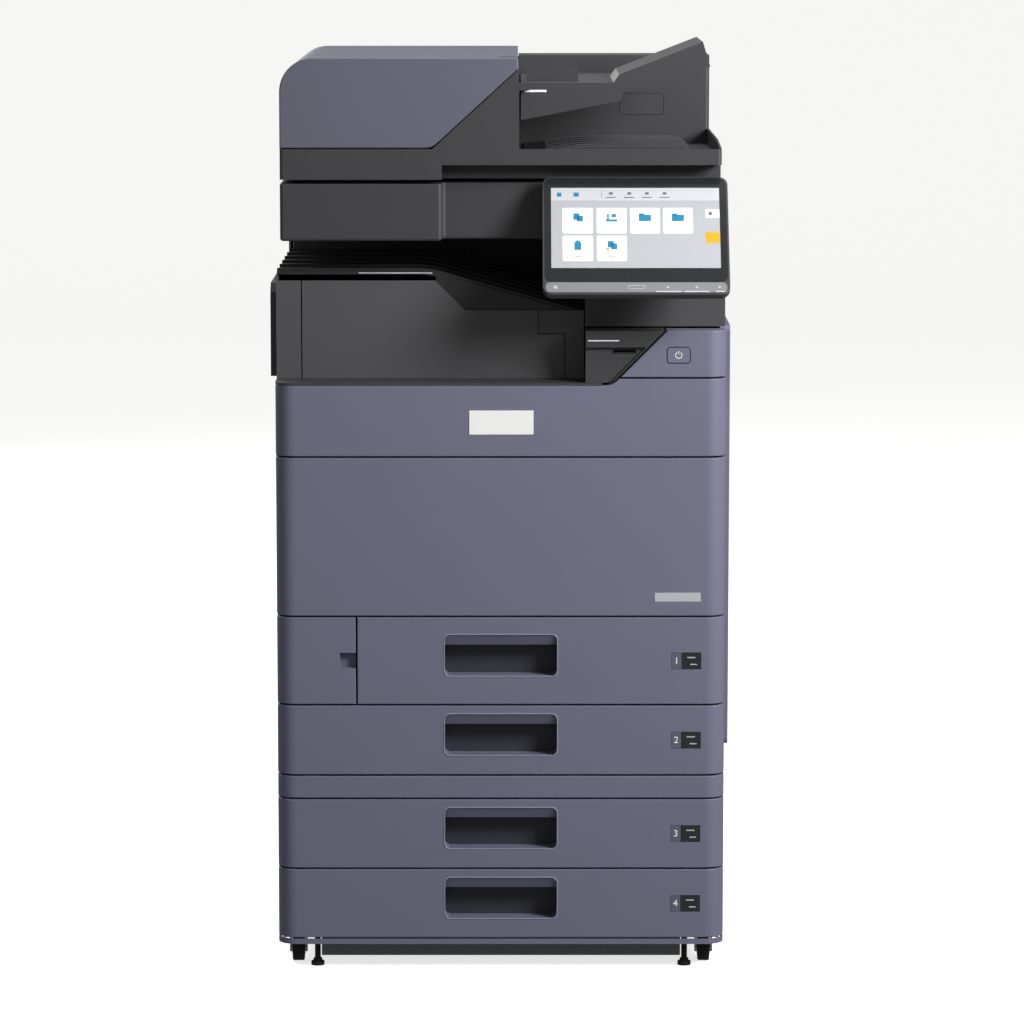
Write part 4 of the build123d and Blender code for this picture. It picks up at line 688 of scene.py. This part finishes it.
# coloured rings on the toner containers: an outer wall, a flat crown and an inner wall
ring = {
    "inset": 27 * mm, "z": 655 * mm, "sink": 0.05 * mm,
    "profile": [(26.5, 0), (26.5, 0.8), (25.5, 1.4), (20.5, 1.4), (19.5, 0.6), (19.5, 0)],
}
containerLow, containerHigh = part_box("toner_containers")
ringSheet = raised(Sheet((0, containerLow.y, 0), (1, 0, 0), (0, 0, 1)), -ring["sink"])
ringX = np.linspace(containerLow.x + ring["inset"], containerHigh.x - ring["inset"], 4)
ringProfile = [(radius * mm, height * mm) for radius, height in ring["profile"]]
for x, shade in zip(ringX, ("capYellow", "capMagenta", "capCyan", "capBlack")):
    turned(f"toner_ring_{shade}", ringSheet, float(x), ring["z"], ringProfile, shade, "root")

# white backing mat under the feeder
mat = {"middle": (-156.5, 0), "size": (268, 316), "corner": 4, "rise": 2.2, "bevel": 0.6}
matSheet = Sheet((0, 0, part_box("feeder_base")[0].z), (1, 0, 0), (0, -1, 0))
lowPlate("backing_mat", matSheet, mat, "whiteMat", "feeder")

# caster hub caps: heights are shares of the rise, the crown's radius is a share of the cap's
hub = {
    "radius": 10.5 * mm, "rise": 0.9 * mm, "sink": 0.1 * mm, "steps": 32,
    "shoulder": 0.4, "crown": 0.86, "crownRise": 0.9, "eye": 4.2 * mm, "eyeRise": 0.7,
}
hubProfile = [
    (hub["radius"], -hub["sink"]),
    (hub["radius"], hub["shoulder"] * hub["rise"]),
    (hub["radius"] * hub["crown"], hub["crownRise"] * hub["rise"]),
    (hub["eye"], hub["eyeRise"] * hub["rise"]),
]
for number in range(1, 5):
    wheel = f"caster_wheel_{number}"
    wheelLow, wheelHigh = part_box(wheel)
    hubMiddle = (wheelLow + wheelHigh) / 2
    for side, sideName, face in ((-1, "left", wheelLow.x), (1, "right", wheelHigh.x)):
        hubSheet = Sheet((face, hubMiddle.y, hubMiddle.z), (0, side, 0), (0, 0, 1))
        turned(f"hub_{number}_{sideName}", hubSheet, 0, 0, hubProfile, "hubNylon", wheel, hub["steps"])

# latch lever and status lamp on the feeder cover, placed from its right front corner
lever = {"middle": (-12.5, 34), "size": (21, 46), "corner": 3, "rise": 1.2, "bevel": 0.3, "sink": 1.5}
coverLamp = {"middle": (-98, 60), "size": (5, 5), "corner": 2.4, "rise": 0.2}
coverLow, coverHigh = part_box("feeder_cover")
coverFront, coverRight = coverLow.y, coverHigh.x
coverSheet = Sheet((0, 0, coverHigh.z), (1, 0, 0), (0, 1, 0))
leverSheet = raised(coverSheet, -lever["sink"] * mm)
lowPlate("latch_lever", leverSheet, lever, "blackAbs", "feeder_cover", (coverRight, coverFront))
lowPlate("cover_lamp", coverSheet, coverLamp, "labelDark", "feeder_cover", (coverRight, coverFront))

# eject table: a ramp that rises with a half cosine, then runs flat and drops at the stop
ramp = {
    "floor": 17.4 * mm, "lift": 5.2 * mm, "skin": 0.6 * mm, "gap": 8 * mm, "rise": 9 * mm, "climb": 95 * mm,
    "run": 215 * mm, "drop": 12 * mm, "stopHeight": 0.1, "front": 66 * mm, "back": 372 * mm, "steps": 14,
}
rib = {
    "count": 6, "from": 4, "first": 20 * mm, "margin": 44 * mm,
    "width": 2.4 * mm, "rise": 1.6 * mm, "sink": 0.4 * mm,
}
rampLow = coverLow.z - ramp["floor"] + ramp["lift"]
climb = np.linspace(0, 1, ramp["steps"])
flatEnd = [ramp["run"], ramp["run"] + ramp["drop"]]
rampX = coverRight + ramp["gap"] + np.concatenate([climb * ramp["climb"], flatEnd])
rampShape = np.concatenate([(1 - np.cos(math.pi * climb)) / 2, [1, ramp["stopHeight"]]])
rampZ = rampLow + ramp["skin"] + ramp["rise"] * rampShape
rampSection = [(rampX[-1], rampLow), (rampX[0], rampLow), *zip(rampX, rampZ)]
rampFront, rampBack = coverFront + ramp["front"], coverFront + ramp["back"]
swept("eject_ramp", rampSection, [rampFront, rampBack], "blackAbs", "feeder")
ribX, ribZ = rampX[rib["from"]:-1], rampZ[rib["from"]:-1]
underside = [(x, z - rib["sink"]) for x, z in zip(ribX[::-1], ribZ[::-1])]
ribSection = underside + [(x, z + rib["rise"]) for x, z in zip(ribX, ribZ)]
ribStep = (rampBack - rampFront - rib["margin"]) / (rib["count"] - 1)
for place in range(rib["count"]):
    ribY = rampFront + rib["first"] + place * ribStep
    swept(f"eject_rib_{place + 1}", ribSection, [ribY, ribY + rib["width"]], "rampRib", "feeder")

# outline of the hatch on the eject area's back wall, and the document tray's mark
hatch = {"middle": (175, 1150), "size": (62, 30), "corner": 4, "width": 1.2, "rise": 0.5, "depth": 400 * mm}
trayLabel = {"middle": (46, 1183), "size": (30, 3), "corner": 0.6, "rise": 0.3}
wallSheet = Sheet((0, coverFront + hatch["depth"], 0), (1, 0, 0), (0, 0, 1))
bead("jam_hatch", wallSheet, hatch, "capBlack", "feeder", (coverRight, 0))
skirtSheet = Sheet((0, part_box("document_tray")[0].y, 0), (1, 0, 0), (0, 0, 1))
lowPlate("tray_label", skirtSheet, trayLabel, "labelFilm", "document_tray")
print("small pieces")

# floor: a bowl, flat out to one radius, then a quarter circle, then straight up
stage = {
    "floor": "#f4f4f3", "rings": [0.02, 3.0, 6.0], "flat": 9.0, "bend": 6.0, "wall": 14.0,
    "arc": 12, "around": 64, "roughness": 0.9, "glow": 0.8,
}
around = stage["around"]
bendAngle = np.linspace(0, math.pi / 2, stage["arc"])
wallR = stage["flat"] + stage["bend"]
bowlR = np.concatenate([stage["rings"], stage["flat"] + stage["bend"] * np.sin(bendAngle), [wallR]])
bowlZ = np.concatenate([[0, 0, 0], stage["bend"] * (1 - np.cos(bendAngle)), [stage["wall"]]])
bowlTurn = np.linspace(0, 2 * math.pi, around, endpoint=False)
bowlX, bowlY = np.outer(bowlR, np.cos(bowlTurn)), np.outer(bowlR, np.sin(bowlTurn))
bowlPoints = np.stack([bowlX, bowlY, np.repeat(bowlZ[:, None], around, 1)], -1)
bowlFaces = gridFaces(len(bowlR), around, False).tolist() + [tuple(range(around))]
floorMesh = bpy.data.meshes.new("floor")
floorMesh.from_pydata(bowlPoints.reshape(-1, 3).tolist(), [], bowlFaces)
floorMesh.polygons.foreach_set("use_smooth", [True] * len(floorMesh.polygons))
floor = bpy.data.objects.new("floor", floorMesh)
floorMaterial, floorTree, _ = newMaterial("paintedFloor")
floorColour = toLinear(stage["floor"])
floorLook = [("Base Color", floorColour), ("Roughness", stage["roughness"])]
floorLook += [("Emission Color", floorColour), ("Emission Strength", stage["glow"])]
closeMaterial(floorTree, addNode(floorTree, "ShaderNodeBsdfPrincipled", floorLook))
floorMesh.materials.append(floorMaterial)
scene.collection.objects.link(floor)
floor.visible_diffuse = False
floor.visible_shadow = False
floor.visible_glossy = False

# even white light from all round, which fills the shadows
surround = {"colour": (1.0, 1.0, 1.0, 1.0), "strength": 0.19}
world = bpy.data.worlds.new("studio")
world.use_nodes = True
background = world.node_tree.nodes["Background"]
background.inputs["Color"].default_value = surround["colour"]
background.inputs["Strength"].default_value = surround["strength"]
scene.world = world

lamps = {
    "keyLamp": {"at": (1.9, -1.75, 2.05), "aim": (0.15, -0.2, 0.95), "size": 1.0, "power": 104},
    "fillLamp": {"at": (-2.6, -3.2, 2.2), "aim": (0, 0, 0.9), "size": 2.4, "power": 8},
    "rearLamp": {"at": (-2.4, 3.6, 2.8), "aim": (0, 0, 0.8), "size": 2.4, "power": 110},
    "topLamp": {"at": (0.2, 0.3, 3.4), "aim": (0, 0, 1.0), "size": 2.0, "power": 40},
}
for name, values in lamps.items():
    light = bpy.data.lights.new(name, "AREA")
    light.energy = values["power"]
    light.size = values["size"]
    lamp = bpy.data.objects.new(name, light)
    lamp.location = values["at"]
    toAim = Vector(values["aim"]) - Vector(values["at"])
    lamp.rotation_euler = toAim.to_track_quat("-Z", "Y").to_euler()
    scene.collection.objects.link(lamp)

view = {"x": 0.015, "distance": 6.0, "height": 1.441, "tilt": 7.74, "lens": 159.5, "sensor": 36}
camera = bpy.data.objects.new("camera", bpy.data.cameras.new("camera"))
camera.data.lens = view["lens"]
camera.data.sensor_width = view["sensor"]
camera.location = (view["x"], frontY - view["distance"], view["height"])
camera.rotation_euler = (math.radians(90 - view["tilt"]), 0, 0)
scene.collection.objects.link(camera)
scene.camera = camera
scene.view_settings.view_transform = "Standard"
print("stage set")
